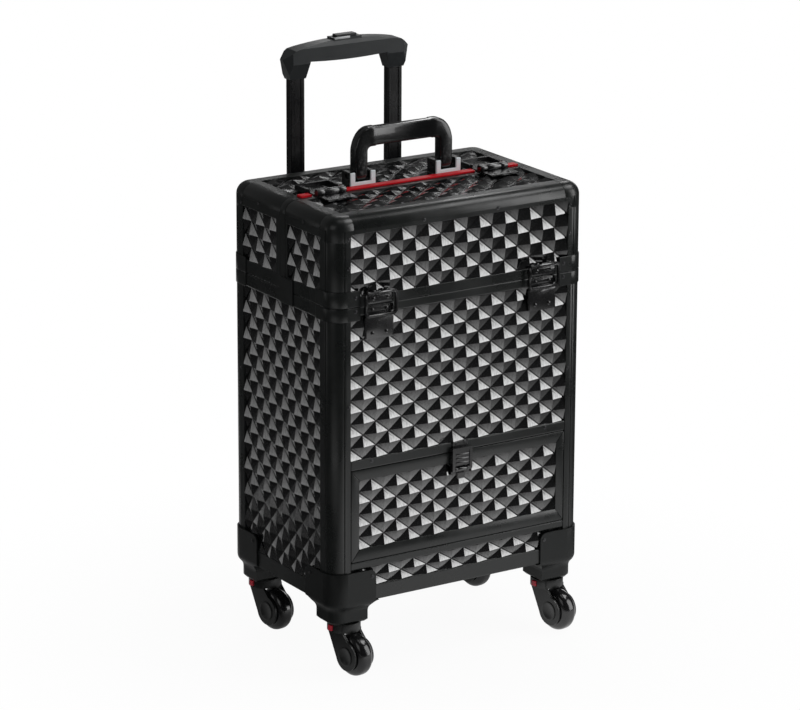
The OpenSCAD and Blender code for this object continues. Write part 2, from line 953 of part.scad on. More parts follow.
module drawer_lever() {
    half = drawer_lever_w / 2;
    inner = half - 1 - 6;
    back = drawer_pivot_y + 2.2;
    front = back - 4.4;
    top = drawer_pivot_z - 6 + drawer_lever_h;
    color("#333338") {
        for (side = [-1, 1])
            translate([side * (half - 1.8), 0, 0])
                block([-1.8, 1.8], [front, back], [drawer_pivot_z, top]);
        for (side = [-1, 1])
            cross_rod(side * (half - 1.8) - 1.8, side * (half - 1.8) + 1.8,
                drawer_pivot_y, drawer_pivot_z, 2.2);
        block([-half, half], [front, back], [top - 4, top]);
        block([-half + 1, half - 1], [front + 0.8, front + 2.2], [drawer_pivot_z + 4.6, top - 1]);
        for (z = [drawer_pivot_z + 8, drawer_pivot_z + 13, drawer_pivot_z + 18])
            cross_rod(-half + 5, half - 5, front + 1.2, z, 1.2);
        cross_rod(-half + 1, half - 1, drawer_pivot_y, drawer_pivot_z, drawer_pin_r);
        cross_rod(-inner + 0.4, inner - 0.4, drawer_pivot_y, drawer_pivot_z, 2.2);
    }
}

// Carry handle on the hood

handle_x = handle_w / 2 - handle_t / 2;
handle_y = arch_back + handle_back;
handle_z = top_z + 11;
bracket_d = handle_t + 3.5;
bracket_face = handle_y - handle_t / 2 - face_gap * 2;
bracket_in = bracket_w / 2 - bracket_arm;

module handle_bracket_block() {
    back = bracket_face + bracket_d;
    block([-bracket_w / 2, bracket_w / 2], [bracket_face, back], [top_z, top_z + 2]);
    for (side = [-1, 1])
        difference() {
            translate([side * (bracket_w / 2 - bracket_arm / 2), 0, 0])
                block([-bracket_arm / 2, bracket_arm / 2], [bracket_face, back], [top_z, top_z + bracket_h]);
            cross_rod(-bracket_w, bracket_w, handle_y, handle_z, handle_pin_r + shaft_gap);
        }
}

module handle_bracket_blocks() {
    color("#151517")
        for (x = [-handle_x, handle_x])
            translate([x, 0, 0])
                handle_bracket_block();
}

module handle_bracket_plates() {
    low = 5.5;
    color("#d9d9dc")
        for (x = [-handle_x, handle_x])
            translate([x, 0, 0])
                difference() {
                    block([-bracket_w / 2, bracket_w / 2], [bracket_face - 2.5, bracket_face],
                        [top_z, top_z + bracket_h]);
                    block([-bracket_in, bracket_in], [bracket_face - 2.5 - cut, bracket_face + cut],
                        [top_z + low, top_z + bracket_h + cut]);
                }
}

module handle_outline() {
    leg_z = handle_z - top_z;
    difference() {
        union() {
            translate([-handle_w / 2, leg_z])
                square([handle_w, handle_top - leg_z - handle_r]);
            translate([-handle_w / 2 + handle_r, leg_z])
                square([handle_w - 2 * handle_r, handle_top - leg_z]);
            for (side = [-1, 1])
                translate([side * (handle_w / 2 - handle_r), handle_top - handle_r])
                    circle(r = handle_r);
        }
        translate([-handle_w / 2 + handle_t, leg_z - cut])
            square([handle_w - 2 * handle_t, handle_top - grip_bar_h - leg_z + cut - 6]);
        translate([-handle_w / 2 + handle_t + 6, leg_z - cut])
            square([handle_w - 2 * handle_t - 12, handle_top - grip_bar_h - leg_z + cut]);
        for (side = [-1, 1])
            translate([side * (handle_w / 2 - handle_t - 6), handle_top - grip_bar_h - 6])
                circle(r = 6);
    }
}

module carry_handle() {
    spin_r = handle_z - top_z - 2 - face_gap;
    color("#101012") {
        translate([0, handle_y + handle_t / 2, top_z])
            rotate([90, 0, 0])
                linear_extrude(height = handle_t)
                    handle_outline();
        for (side = [-1, 1])
            translate([side * handle_x, 0, 0]) {
                cross_rod(-handle_t / 2, handle_t / 2, handle_y, handle_z, min(handle_t / 2, spin_r));
                cross_rod(0.5 - bracket_w / 2, bracket_w / 2 - 0.5, handle_y, handle_z, handle_pin_r);
                cross_rod(face_gap - bracket_in, bracket_in - face_gap, handle_y, handle_z, handle_pin_r + 2);
            }
    }
}

// Trolley behind the case

module tube_plan(w, d, r) {
    translate([0, tube_y])
        round_rect(w, d, r);
}

module trolley_sleeves() {
    color("#2b2b2f")
        for (x = [-tube_x, tube_x])
            translate([x, 0, sleeve_z])
                linear_extrude(height = sleeve_top - sleeve_z)
                    difference() {
                        tube_plan(sleeve_w, sleeve_d, sleeve_r);
                        tube_plan(tube_w + 2 * tube_gap, tube_d + 2 * tube_gap, tube_r + tube_gap);
                    }
}

module trolley_bracket(z, h) {
    x = tube_x + sleeve_w / 2 + 5;
    back = tube_y + sleeve_d / 2 + 2.5;
    difference() {
        block([-x, x], [case_d, back], [z, z + h]);
        for (side = [-1, 1])
            translate([side * tube_x, 0, z - cut])
                linear_extrude(height = h + 2 * cut)
                    tube_plan(sleeve_w, sleeve_d, sleeve_r);
        block([sleeve_w / 2 + 5 - tube_x, tube_x - sleeve_w / 2 - 5], [case_d + 6, back + cut],
            [z - cut, z + h + cut]);
    }
}

bracket_rise = 18;
bracket_below = 24;

module trolley_brackets() {
    color("#1c1c1f") {
        trolley_bracket(sleeve_z, bracket_rise);
        trolley_bracket(sleeve_top - bracket_below, bracket_rise);
    }
}

tube_wall = 1.5;

module trolley_tubes() {
    color("#46464b")
        for (x = [-tube_x, tube_x])
            translate([x, 0, tube_z])
                linear_extrude(height = grip_z - tube_z)
                    difference() {
                        tube_plan(tube_w, tube_d, tube_r);
                        tube_plan(tube_w - 2 * tube_wall, tube_d - 2 * tube_wall, tube_r / 2);
                        for (y = [tube_y - tube_d / 2, tube_y + tube_d / 2])
                            translate([-flute_w / 2, y - flute_d])
                                square([flute_w, 2 * flute_d]);
                    }
}

// Grip, seen from the front: crowned bar with cut shoulders, a bellied underside and two sockets
grip_half = grip_w / 2;
shoulder_in = 14;
tip_drop = 10;
belly_rise = 2;
socket_wall = 1;
socket_flare = 4;
end_cut = 10;
end_half_d = 3;
seat_end = 5;
seat_rise = 1.5;
button_half_d = 5;
button_sunk = 9;

function crown(x) = grip_top - crown_r + sqrt(pow(crown_r, 2) - pow(x, 2));

module grip_half_outline() {
    shoulder = grip_half - shoulder_in;
    tip_z = crown(shoulder) - tip_drop;
    socket_out = tube_x + tube_w / 2 + socket_wall;
    socket_in = tube_x - tube_w / 2 - socket_wall;
    flare = socket_in - socket_flare;
    steps = 12;
    polygon(concat(
        [for (i = [0:steps]) [shoulder * i / steps, crown(shoulder * i / steps)]],
        [[grip_half, tip_z], [socket_out, socket_z], [socket_in, socket_z]],
        [for (i = [steps:-1:0]) [flare * i / steps, grip_z + belly_rise * pow(i / steps, 2)]]
    ));
}

// Grip, seen from the side: narrow at the sockets, full at the bar, with its top edges cut
module grip_section() {
    low = tube_d / 2 + socket_wall;
    full = grip_d / 2;
    top = grip_top + cut;
    edge = 6;
    polygon([[-low, socket_z], [low, socket_z], [full, grip_z], [full, grip_top - edge],
        [full - edge + 1, top], [edge - 1 - full, top], [-full, grip_top - edge], [-full, grip_z]]);
}

// Grip, seen from above: its ends are cut back at the corners
module grip_plan() {
    full = grip_d / 2;
    polygon([for (p = [[1, -1], [1, 1], [-1, 1], [-1, -1]], q = p[0] * p[1] < 0 ? [0, 1] : [1, 0])
        q == 0 ? [p[0] * (grip_half - end_cut), p[1] * full] : [p[0] * grip_half, p[1] * end_half_d]]);
}

module trolley_grip() {
    color("#5b5d60")
        difference() {
            union() {
                intersection() {
                    translate([0, tube_y, socket_z])
                        linear_extrude(height = grip_top - socket_z + cut)
                            grip_plan();
                    translate([0, tube_y + grip_d, 0])
                        rotate([90, 0, 0])
                            linear_extrude(height = 2 * grip_d)
                                mirror_x()
                                    grip_half_outline();
                    translate([-grip_w, tube_y, 0])
                        rotate([90, 0, 90])
                            linear_extrude(height = 2 * grip_w)
                                grip_section();
                }
                translate([0, tube_y, grip_top])
                    block([-button_l / 2 - seat_end, button_l / 2 + seat_end], [-8, 8], [-8, seat_rise]);
            }
            for (side = [-1, 1])
                translate([side * tube_x, 0, socket_z - cut])
                    linear_extrude(height = grip_z - socket_z + cut)
                        tube_plan(tube_w, tube_d, tube_r);
            translate([0, tube_y, grip_top])
                block([-button_l / 2 - face_gap, button_l / 2 + face_gap],
                    [-button_half_d - face_gap, button_half_d + face_gap], [-button_sunk, button_sunk]);
        }
}

module trolley_button() {
    color("#b9bcc0")
        translate([0, tube_y, grip_top])
            block([-button_l / 2, button_l / 2], [-button_half_d, button_half_d],
                [button_travel + 1 - button_sunk, seat_rise + button_travel]);
}

// Feet and casters

foot_h = foot_drop + foot_up;
neck_top = 3;
neck_fall = 16;
foot_chamfer = 3;
flare_r = 12;
foot_corner = 8;

// Points of an S-shaped fall from a to b, made of two equal arcs
function fall(a, b, steps = 4) =
    let (turn = 2 * atan((b[0] - a[0]) / (a[1] - b[1])), r = (a[1] - b[1]) / 2 / sin(turn))
    concat(
        [for (i = [0:steps]) let (t = turn * i / steps) [a[0] + r * (1 - cos(t)), a[1] - r * sin(t)]],
        [for (i = [steps - 1:-1:0]) let (t = turn * i / steps) [b[0] - r * (1 - cos(t)), b[1] + r * sin(t)]]
    );

// Outer side of a foot from its top down to its bottom, with x measured inwards from the case's face
foot_side_points = concat(
    [[-foot_t, foot_h]],
    fall([-foot_t, foot_drop + neck_top], [neck_in, foot_drop + neck_top - neck_fall]),
    [[neck_in, foot_chamfer], [neck_in + foot_chamfer, 0]]
);

// Outline of a foot seen square to one face, corner at the origin, reaching +X
module foot_outline(reach, swivel_in) {
    far = swivel_in + housing_dia / 2 + neck_past;
    polygon(concat(
        foot_side_points,
        [[far - foot_chamfer, 0], [far, foot_chamfer]],
        [for (t = [180:-15:90]) [far + flare_r + flare_r * cos(t), foot_drop - flare_r + flare_r * sin(t)]],
        [[reach, foot_drop]],
        [for (t = [0:15:90]) [reach, foot_h] + foot_corner * [cos(t) - 1, sin(t) - 1]]
    ));
}

recess_gap = 3;
recess_x = swivel_in_x + housing_dia / 2 + neck_past + flare_r + recess_gap;
recess_y = swivel_in_y + housing_dia / 2 + neck_past + flare_r + recess_gap;
foot_recess = 1;

// Foot on the left front corner, in the case's own frame
module foot() {
    span = max(foot_front, foot_side) + flare_r * 2;
    bore_h = foot_drop - stem_cover + 1;
    translate([-half_w, 0, foot_z])
        difference() {
            intersection() {
                translate([0, span, 0])
                    rotate([90, 0, 0])
                        linear_extrude(height = span + 2 * foot_t)
                            foot_outline(foot_front, swivel_in_x);
                translate([-2 * foot_t, 0, 0])
                    rotate([90, 0, 90])
                        linear_extrude(height = span + 3 * foot_t)
                            foot_outline(foot_side, swivel_in_y);
                union() {
                    block([edge_r, span], [-2 * foot_t, span], [0, foot_h]);
                    block([-2 * foot_t, span], [edge_r, span], [0, foot_h]);
                    translate([edge_r, edge_r, 0])
                        rotate_extrude()
                            polygon(concat([[0, foot_h]], [for (p = foot_side_points) [edge_r - p[0], p[1]]], [[0, 0]]));
                }
            }
            translate([half_w, 0, foot_drop])
                linear_extrude(height = foot_up + cut)
                    round_plan(case_w, case_d, edge_r);
            translate([swivel_in_x, swivel_in_y, -cut])
                cylinder(r = stem_r + shaft_gap, h = bore_h + cut);
        }
}

module front_rear(rear) {
    translate([0, rear ? case_d : 0, 0])
        mirror([0, rear ? 1 : 0, 0])
            children();
}

module feet(rear) {
    color("#2e2e31")
        mirror_x()
            front_rear(rear)
                foot();
}

module front_feet() {
    feet(false);
}

module rear_feet() {
    feet(true);
}

module at_swivel(right, rear) {
    x = (right ? 1 : -1) * swivel_x;
    y = rear ? case_d - swivel_in_y : swivel_in_y;
    translate([x, y, 0])
        rotate([0, 0, trail_angle])
            children();
}

tab_l = 6;
tab_h = 6.5;
tab_out = 1.8;
tab_travel = 1.5;
tab_z = housing_z + 1.8;

module fork_cheek() {
    r = wheel_r * 0.7;
    top_half = housing_dia / 2 - 7;
    translate([0, -trail, wheel_r])
        rotate([0, 90, 0])
            cylinder(r = r, h = cheek_t);
    rotate([90, 0, 90])
        linear_extrude(height = cheek_t)
            polygon([[-trail - r * 0.98, wheel_r + r * 0.2], [-trail + r * 0.5, wheel_r - r * 0.86],
                [-trail + r * 0.9, wheel_r - r * 0.4], [top_half, housing_z], [top_half, housing_z + 3],
                [-top_half - 2, housing_z + 3], [-top_half - 2, housing_z]]);
}

module fork() {
    color("#2a2a2d")
        difference() {
            union() {
                translate([0, 0, housing_z])
                    cylinder(r = housing_dia / 2, h = housing_h);
                translate([0, 0, housing_z])
                    cylinder(r = stem_r, h = housing_h + face_gap + foot_drop - stem_cover);
                for (x = [-cheek_x - cheek_t, cheek_x])
                    translate([x, 0, 0])
                        fork_cheek();
                cross_rod(-cheek_x - cheek_t + 1, cheek_x + cheek_t - 1, -trail, wheel_r, axle_r);
            }
            translate([-housing_dia / 2 - cut, -tab_h / 2 - face_gap, tab_z - face_gap])
                cube([cut + tab_l + 1, tab_h + 2 * face_gap, tab_h + 2 * face_gap]);
        }
}

module fork_front_left() {
    at_swivel(false, false)
        fork();
}

module fork_front_right() {
    at_swivel(true, false)
        fork();
}

module fork_rear_left() {
    at_swivel(false, true)
        fork();
}

module fork_rear_right() {
    at_swivel(true, true)
        fork();
}

module wheel() {
    r_in = axle_r + shaft_gap;
    shoulder = tyre_round;
    color("#0d0d0f")
        translate([-wheel_w / 2, -trail, wheel_r])
            rotate([0, 90, 0])
                rotate_extrude()
                    union() {
                        translate([r_in, 0])
                            square([wheel_r - shoulder - r_in, wheel_w]);
                        translate([r_in, shoulder])
                            square([wheel_r - r_in, wheel_w - 2 * shoulder]);
                        for (y = [shoulder, wheel_w - shoulder])
                            translate([wheel_r - shoulder, y])
                                circle(r = shoulder);
                    }
}

module wheel_front_left() {
    at_swivel(false, false)
        wheel();
}

module wheel_front_right() {
    at_swivel(true, false)
        wheel();
}

module wheel_rear_left() {
    at_swivel(false, true)
        wheel();
}

module wheel_rear_right() {
    at_swivel(true, true)
        wheel();
}

// Red release tab in the side of a swivel housing
module tab() {
    color("#b02a35")
        translate([-housing_dia / 2 - tab_out, -tab_h / 2, tab_z])
            cube([tab_out + tab_l - tab_travel, tab_h, tab_h]);
}

module tab_front_left() {
    at_swivel(false, false)
        tab();
}

module tab_front_right() {
    at_swivel(true, false)
        tab();
}

module tab_rear_left() {
    at_swivel(false, true)
        tab();
}

module tab_rear_right() {
    at_swivel(true, true)
        tab();
}

// Rivets

module face_rivet(x, z, y = 0) {
    translate([x, y, z])
        rotate([90, 0, 0])
            rivet();
}

module side_rivet(y, z, x = half_w) {
    mirror_x()
        translate([x, y, z])
            rotate([0, 90, 0])
                rivet();
}

post_rivet = edge_r + rivet_r;

module case_rivets() {
    mid_z = base_z + body_h * 0.67;
    color("#3c3c41") {
        for (x = [-half_w + post_rivet, half_w - post_rivet])
            face_rivet(x, mid_z);
        for (x = [-half_w + corner_leg - 6, half_w - corner_leg + 6])
            face_rivet(x, seam_z - 5, -corner_t);
        for (x = [-post_x + post_side, post_x - post_side]) {
            face_rivet(x, divider_z + divider_h / 2 + 2);
            face_rivet(x, foot_z + foot_drop + foot_up - 8, -foot_t);
        }
        side_rivet(swivel_in_y * 2, foot_z + foot_drop + foot_up - 8, half_w + foot_t);
        side_rivet(case_d - swivel_in_y * 2, foot_z + foot_drop + foot_up - 8, half_w + foot_t);
        side_rivet(post_side - 5, mid_z);
        side_rivet(case_d - post_side + 5, mid_z);
        side_rivet((arch_back + case_d) / 2 - 8, top_z - top_r);
        side_rivet(case_d - post_side + 3, top_z - top_rail - 2);
    }
}

module lid_rivets() {
    color("#3c3c41") {
        for (x = [-1, 1]) {
            face_rivet(x * 50, top_z - top_r);
            face_rivet(x * (half_w - post_rivet), top_z - top_rail - 4.5);
            face_rivet(x * (half_w - post_rivet), seam_z + lid_h * 0.44);
            face_rivet(x * (half_w - corner_leg + 6), seam_z + seam_rail_front, -corner_t);
        }
        side_rivet((post_side + lid_panel_back) / 2, top_z - top_r);
        side_rivet(post_side - 2, top_z - top_rail - 4.5);
    }
}

place() body_front_panel();
place() body_side_panels();
place() body_back_panel();
place() body_floor();
place() drawer_deck();
place() lower_front_panel();
place() body_posts();
place() body_rails();
place() hood_top_panel();
place() hood_side_panels();
place() hood_back_panel();
place() hood_frame();
place() hood_corner_caps();
place() centre_arch();
place() arch_trim();
place() hinge_fixed_leaves();
place() lid_catches();
place() drawer_keeper();
place() drawer_runners();
place() handle_bracket_blocks();
place() handle_bracket_plates();
place() trolley_sleeves();
place() trolley_brackets();
place() front_feet();
place() rear_feet();
place() case_seam_corners();
place() case_rivets();
place() lid_top_panel();
place() lid_front_panel();
place() lid_side_panels();
place() lid_frame();
place() lid_corner_caps();
place() lid_seam_corners();
place() hinge_lid_leaves();
place() lid_latch_plates();
place() lid_rivets();
place() lid_lever_left();
place() lid_lever_right();
place() drawer_front_panel();
place() drawer_front_frame();
place() drawer_box();
place() drawer_latch_plate();
place() drawer_lever();
place() carry_handle();
place() trolley_tubes();
place() trolley_grip();
place() trolley_button();
place() fork_front_left();
place() fork_front_right();
place() fork_rear_left();
place() fork_rear_right();
place() wheel_front_left();
place() wheel_front_right();
place() wheel_rear_left();
place() wheel_rear_right();
place() tab_front_left();
place() tab_front_right();
place() tab_rear_left();
place() tab_rear_right();
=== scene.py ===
"""Rolling makeup case: the looks of every surface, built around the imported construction.

Sizes are in millimetres in the classes below and become metres where a mesh is made.
"""

import logging
import math
from collections.abc import Callable, Iterable
from dataclasses import dataclass, replace
from enum import Enum

import bmesh
import bpy
from mathutils import Matrix, Vector


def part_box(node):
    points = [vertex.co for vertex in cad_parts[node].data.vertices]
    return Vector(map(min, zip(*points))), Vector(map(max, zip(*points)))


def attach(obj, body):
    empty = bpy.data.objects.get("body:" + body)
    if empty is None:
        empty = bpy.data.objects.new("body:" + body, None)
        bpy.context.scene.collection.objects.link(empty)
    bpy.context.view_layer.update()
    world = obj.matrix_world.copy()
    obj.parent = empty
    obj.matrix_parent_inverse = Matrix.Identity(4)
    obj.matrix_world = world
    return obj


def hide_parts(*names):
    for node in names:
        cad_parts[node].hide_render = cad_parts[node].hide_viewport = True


MM = 0.001
MERGE = MM / 100
CORNERS = ("front_left", "front_right", "rear_left", "rear_right")
SIDES = (-1, 1)
NEAR = 0.01
FACING = 0.9
FLUSH = 0.999
RIVET_SIDES = 24
DUST_GREY = (0.32, 0.31, 0.3, 1)
WHITE = (1, 1, 1, 1)
RIGHT = Vector((1, 0, 0))
REAR = Vector((0, 1, 0))
UP = Vector((0, 0, 1))

Pair = tuple[float, float]
Triple = tuple[float, float, float]
Steps = tuple[Pair, ...]
Surface = dict[str, object]
Object = bpy.types.Object
Socket = bpy.types.NodeSocket
Outputs = bpy.types.NodeOutputs

log = logging.getLogger("makeup_case")
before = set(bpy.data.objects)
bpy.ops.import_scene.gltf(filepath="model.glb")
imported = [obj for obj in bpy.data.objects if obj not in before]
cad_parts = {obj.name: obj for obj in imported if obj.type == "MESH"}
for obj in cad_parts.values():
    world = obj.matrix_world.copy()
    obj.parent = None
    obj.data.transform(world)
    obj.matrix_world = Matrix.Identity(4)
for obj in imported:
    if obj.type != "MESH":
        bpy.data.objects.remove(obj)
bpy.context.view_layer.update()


class Slot(Enum):
    """The record's material slots."""

    RELIEF = "relief_laminate"
    PROFILE = "black_profile"
    CORNER = "black_corner"
    LINER = "liner_board"
    TRIM = "red_trim"
    HARDWARE = "black_hardware"
    BRACKET = "silver_bracket"
    HANDLE = "black_handle"
    FOOT = "foot_plastic"
    TUBE = "tube_metal"
    GRIP = "grip_plastic"
    BUTTON = "button_plastic"
    FORK = "fork_plastic"
    WHEEL = "wheel_plastic"
    TAB = "red_tab"
    RIVET = "rivet_steel"


class Pick(Enum):
    """The kinds of element that are picked on a mesh, as edit mode calls them."""

    FACES = "FACE"
    EDGES = "EDGE"
    VERTS = "VERT"


def node_box(name: str) -> tuple[Vector, Vector]:
    """Lowest and highest corner of a construction node."""
    low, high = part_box(name)
    return low / MM, high / MM


def at(x: float, y: float, z: float) -> Vector:
    """A point in millimetres."""
    return Vector((x, y, z))


def part_way(low: Vector, high: Vector, share: float) -> float:
    """The place at a share of the way from one corner's X to the other's."""
    return low.x + (high.x - low.x) * share


class Work:
    """A mesh on the bench, in edit mode. Picks and operators shape it, and done() hands it over."""

    def __init__(self, obj: Object, name: str) -> None:
        """Takes a fresh primitive.

        Args:
            obj: the primitive's object.
            name: the piece's name.
        """
        obj.name = name
        obj.data.name = name
        bpy.ops.object.transform_apply(location=True, rotation=True, scale=True)
        self.obj = obj
        bpy.ops.object.mode_set(mode="EDIT")

    @classmethod
    def box(cls, name: str, low: Vector, high: Vector) -> "Work":
        """Starts from a box.

        Args:
            name: the piece's name.
            low: lowest corner.
            high: highest corner.

        Returns:
            The new work.
        """
        low, high = low * MM, high * MM
        bpy.ops.mesh.primitive_cube_add(size=1, location=(low + high) / 2)
        bpy.context.object.scale = high - low
        return cls(bpy.context.object, name)

    @classmethod
    def rod(cls, name: str, start: Vector, end: Vector, radius: float, sides: int = 32) -> "Work":
        """Starts from a cylinder.

        Args:
            name: the piece's name.
            start: centre of one end.
            end: centre of the other end.
            radius: radius.
            sides: number of sides.

        Returns:
            The new work.
        """
        start, end = start * MM, end * MM
        along = end - start
        turn = UP.rotation_difference(along).to_euler()
        bpy.ops.mesh.primitive_cylinder_add(
            vertices=sides, radius=radius * MM, depth=along.length,
            location=(start + end) / 2, rotation=turn,
        )
        return cls(bpy.context.object, name)

    def pick(self, kind: Pick, passes: Callable[[object], bool]) -> "Work":
        """Picks the elements of one kind that pass a test, and nothing else.

        Args:
            kind: the kind of element.
            passes: takes an element and says whether it is picked.

        Returns:
            The work.
        """
        bpy.ops.mesh.select_mode(type=kind.value)
        bpy.ops.mesh.select_all(action="DESELECT")
        mesh = bmesh.from_edit_mesh(self.obj.data)
        mesh.normal_update()
        for element in getattr(mesh, kind.name.lower()):
            if passes(element):
                element.select_set(True)
        if kind is Pick.VERTS:
            mesh.select_flush(True)
        bmesh.update_edit_mesh(self.obj.data)
        return self

    def faces(self, test: Callable[[Vector, Vector], bool]) -> "Work":
        """Picks the faces whose centre and normal pass the test."""
        return self.pick(Pick.FACES, lambda f: test(f.calc_center_median() / MM, f.normal))

    def towards(self, way: Vector) -> "Work":
        """Picks the faces that look along a direction."""
        return self.faces(lambda centre, normal: normal.dot(way) > FACING)

    def edges(self, test: Callable[[Vector, Vector], bool]) -> "Work":
        """Picks the edges whose two ends pass the test."""
        return self.pick(Pick.EDGES, lambda e: test(e.verts[0].co / MM, e.verts[1].co / MM))

    def edges_along(self, way: Vector) -> "Work":
        """Picks the edges of a box that run along a direction."""
        return self.edges(lambda a, b: abs((a - b).dot(way)) > NEAR)

    def points(self, test: Callable[[Vector], bool]) -> "Work":
        """Picks the points whose place passes the test."""
        return self.pick(Pick.VERTS, lambda v: test(v.co / MM))

    def bevel(self, width: float, segments: int) -> "Work":
        """Rounds the picked edges."""
        bpy.ops.mesh.bevel(offset=width * MM, segments=segments, affect="EDGES", clamp_overlap=True)
        return self

    def inset(self, *steps: Pair) -> "Work":
        """Insets the picked faces step by step.

        Args:
            steps: for each step how far in and how far out it goes.

        Returns:
            The work.
        """
        for width, rise in steps:
            bpy.ops.mesh.inset(thickness=width * MM, depth=rise * MM)
        return self

    def extrude(self, way: Vector) -> "Work":
        """Extrudes what is picked."""
        bpy.ops.mesh.extrude_region_move(TRANSFORM_OT_translate={"value": way * MM})
        return self

    def resize(self, shares: Triple, centre: Vector) -> "Work":
        """Scales what is picked about a point."""
        bpy.ops.transform.resize(value=shares, center_override=centre * MM)
        return self

    def spin(self, centre: Vector, axis: Vector, degrees: float, steps: int) -> "Work":
        """Sweeps what is picked round an axis through a point, right-handed."""
        bpy.ops.mesh.spin(steps=steps, angle=-math.radians(degrees), center=centre * MM, axis=axis)
        return self

    def slice(self, places: Iterable[float], way: Vector) -> "Work":
        """Cuts the whole mesh across a direction.

        Args:
            places: where it is cut.
            way: the direction.

        Returns:
            The work.
        """
        for place in places:
            bpy.ops.mesh.select_all(action="SELECT")
            bpy.ops.mesh.bisect(plane_co=way * place * MM, plane_no=way)
        return self

    def bend(self, change: Callable[[Vector], Vector]) -> "Work":
        """Moves every point by a rule.

        Args:
            change: takes a point's place and gives its new one.

        Returns:
            The work.
        """
        mesh = bmesh.from_edit_mesh(self.obj.data)
        for point in mesh.verts:
            point.co = change(point.co / MM) * MM
        bmesh.update_edit_mesh(self.obj.data)
        return self

    def done(self, round_by: float = 0, angle: float = 35) -> Object:
        """Rounds the sharp edges, faces everything outwards and leaves edit mode.

        Args:
            round_by: width of the rounding of sharp edges, or 0 for none.
            angle: angle in degrees past which an edge counts as sharp.

        Returns:
            The finished object.
        """
        bpy.ops.mesh.select_all(action="SELECT")
        bpy.ops.mesh.remove_doubles(threshold=MERGE)
        bpy.ops.mesh.normals_make_consistent(inside=False)
        bpy.ops.object.mode_set(mode="OBJECT")
        if round_by:
            add_rounding(self.obj, round_by, angle)
            apply_modifiers(self.obj)
        smooth(self.obj, angle)
        return self.obj


def add_rounding(obj: Object, width: float, angle: float, segments: int = 2) -> None:
    """Adds a Bevel modifier that rounds an object's sharp edges.

    Args:
        obj: the object.
        width: width of the rounding.
        angle: angle in degrees past which an edge is sharp.
        segments: segments of the rounding.
    """
    rounding = obj.modifiers.new("rounding", "BEVEL")
    rounding.width = width * MM
    rounding.segments = segments
    rounding.limit_method = "ANGLE"
    rounding.angle_limit = math.radians(angle)
    rounding.use_clamp_overlap = True


def make_active(obj: Object) -> None:
    """Selects one object alone and makes it the active one.

    Args:
        obj: the object.
    """
    bpy.ops.object.select_all(action="DESELECT")
    obj.select_set(True)
    bpy.context.view_layer.objects.active = obj


def apply_modifiers(obj: Object) -> None:
    """Applies all of an object's modifiers in order.

    Args:
        obj: the object.
    """
    make_active(obj)
    for name in [modifier.name for modifier in obj.modifiers]:
        bpy.ops.object.modifier_apply(modifier=name)


def smooth(obj: Object, angle: float) -> None:
    """Shades an object smooth below an angle in degrees."""
    make_active(obj)
    bpy.ops.object.shade_smooth_by_angle(angle=math.radians(angle))


def cut_out(obj: Object, tool: Object) -> Object:
    """Cuts one object's shape out of another and removes it.

    Args:
        obj: the object that is cut.
        tool: the shape that is taken out.

    Returns:
        The cut object.
    """
    cut = obj.modifiers.new("cut", "BOOLEAN")
    cut.operation = "DIFFERENCE"
    cut.solver = "EXACT"
    cut.object = tool
    apply_modifiers(obj)
    bpy.data.objects.remove(tool)
    return obj


def join(parts: list[Object], name: str) -> Object:
    """Joins objects into one piece.

    Args:
        parts: the objects.
        name: the piece's name.

    Returns:
        The joined object.
    """
    make_active(parts[0])
    for part in parts[1:]:
        part.select_set(True)
    bpy.ops.object.join()
    parts[0].name = name
    parts[0].data.name = name
    return parts[0]


def loose_boxes(node: str) -> list[tuple[Vector, Vector]]:
    """The box of each separate solid of a construction node.

    Args:
        node: the node's name.

    Returns:
        Lowest and highest corner of each solid, from left to right.
    """
    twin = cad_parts[node].copy()
    twin.data = twin.data.copy()
    twin.parent = None
    bpy.context.scene.collection.objects.link(twin)
    make_active(twin)
    bpy.ops.object.mode_set(mode="EDIT")
    bpy.ops.mesh.select_all(action="SELECT")
    bpy.ops.mesh.remove_doubles(threshold=MERGE)
    bpy.ops.mesh.separate(type="LOOSE")
    bpy.ops.object.mode_set(mode="OBJECT")
    boxes = []
    for part in list(bpy.context.selected_objects):
        places = list(zip(*(point.co for point in part.data.vertices)))
        low, high = (Vector([pick(along) for along in places]) for pick in (min, max))
        boxes.append((low / MM, high / MM))
        bpy.data.objects.remove(part)
    return sorted(boxes, key=lambda box: tuple(round(v, 1) for v in box[0]))


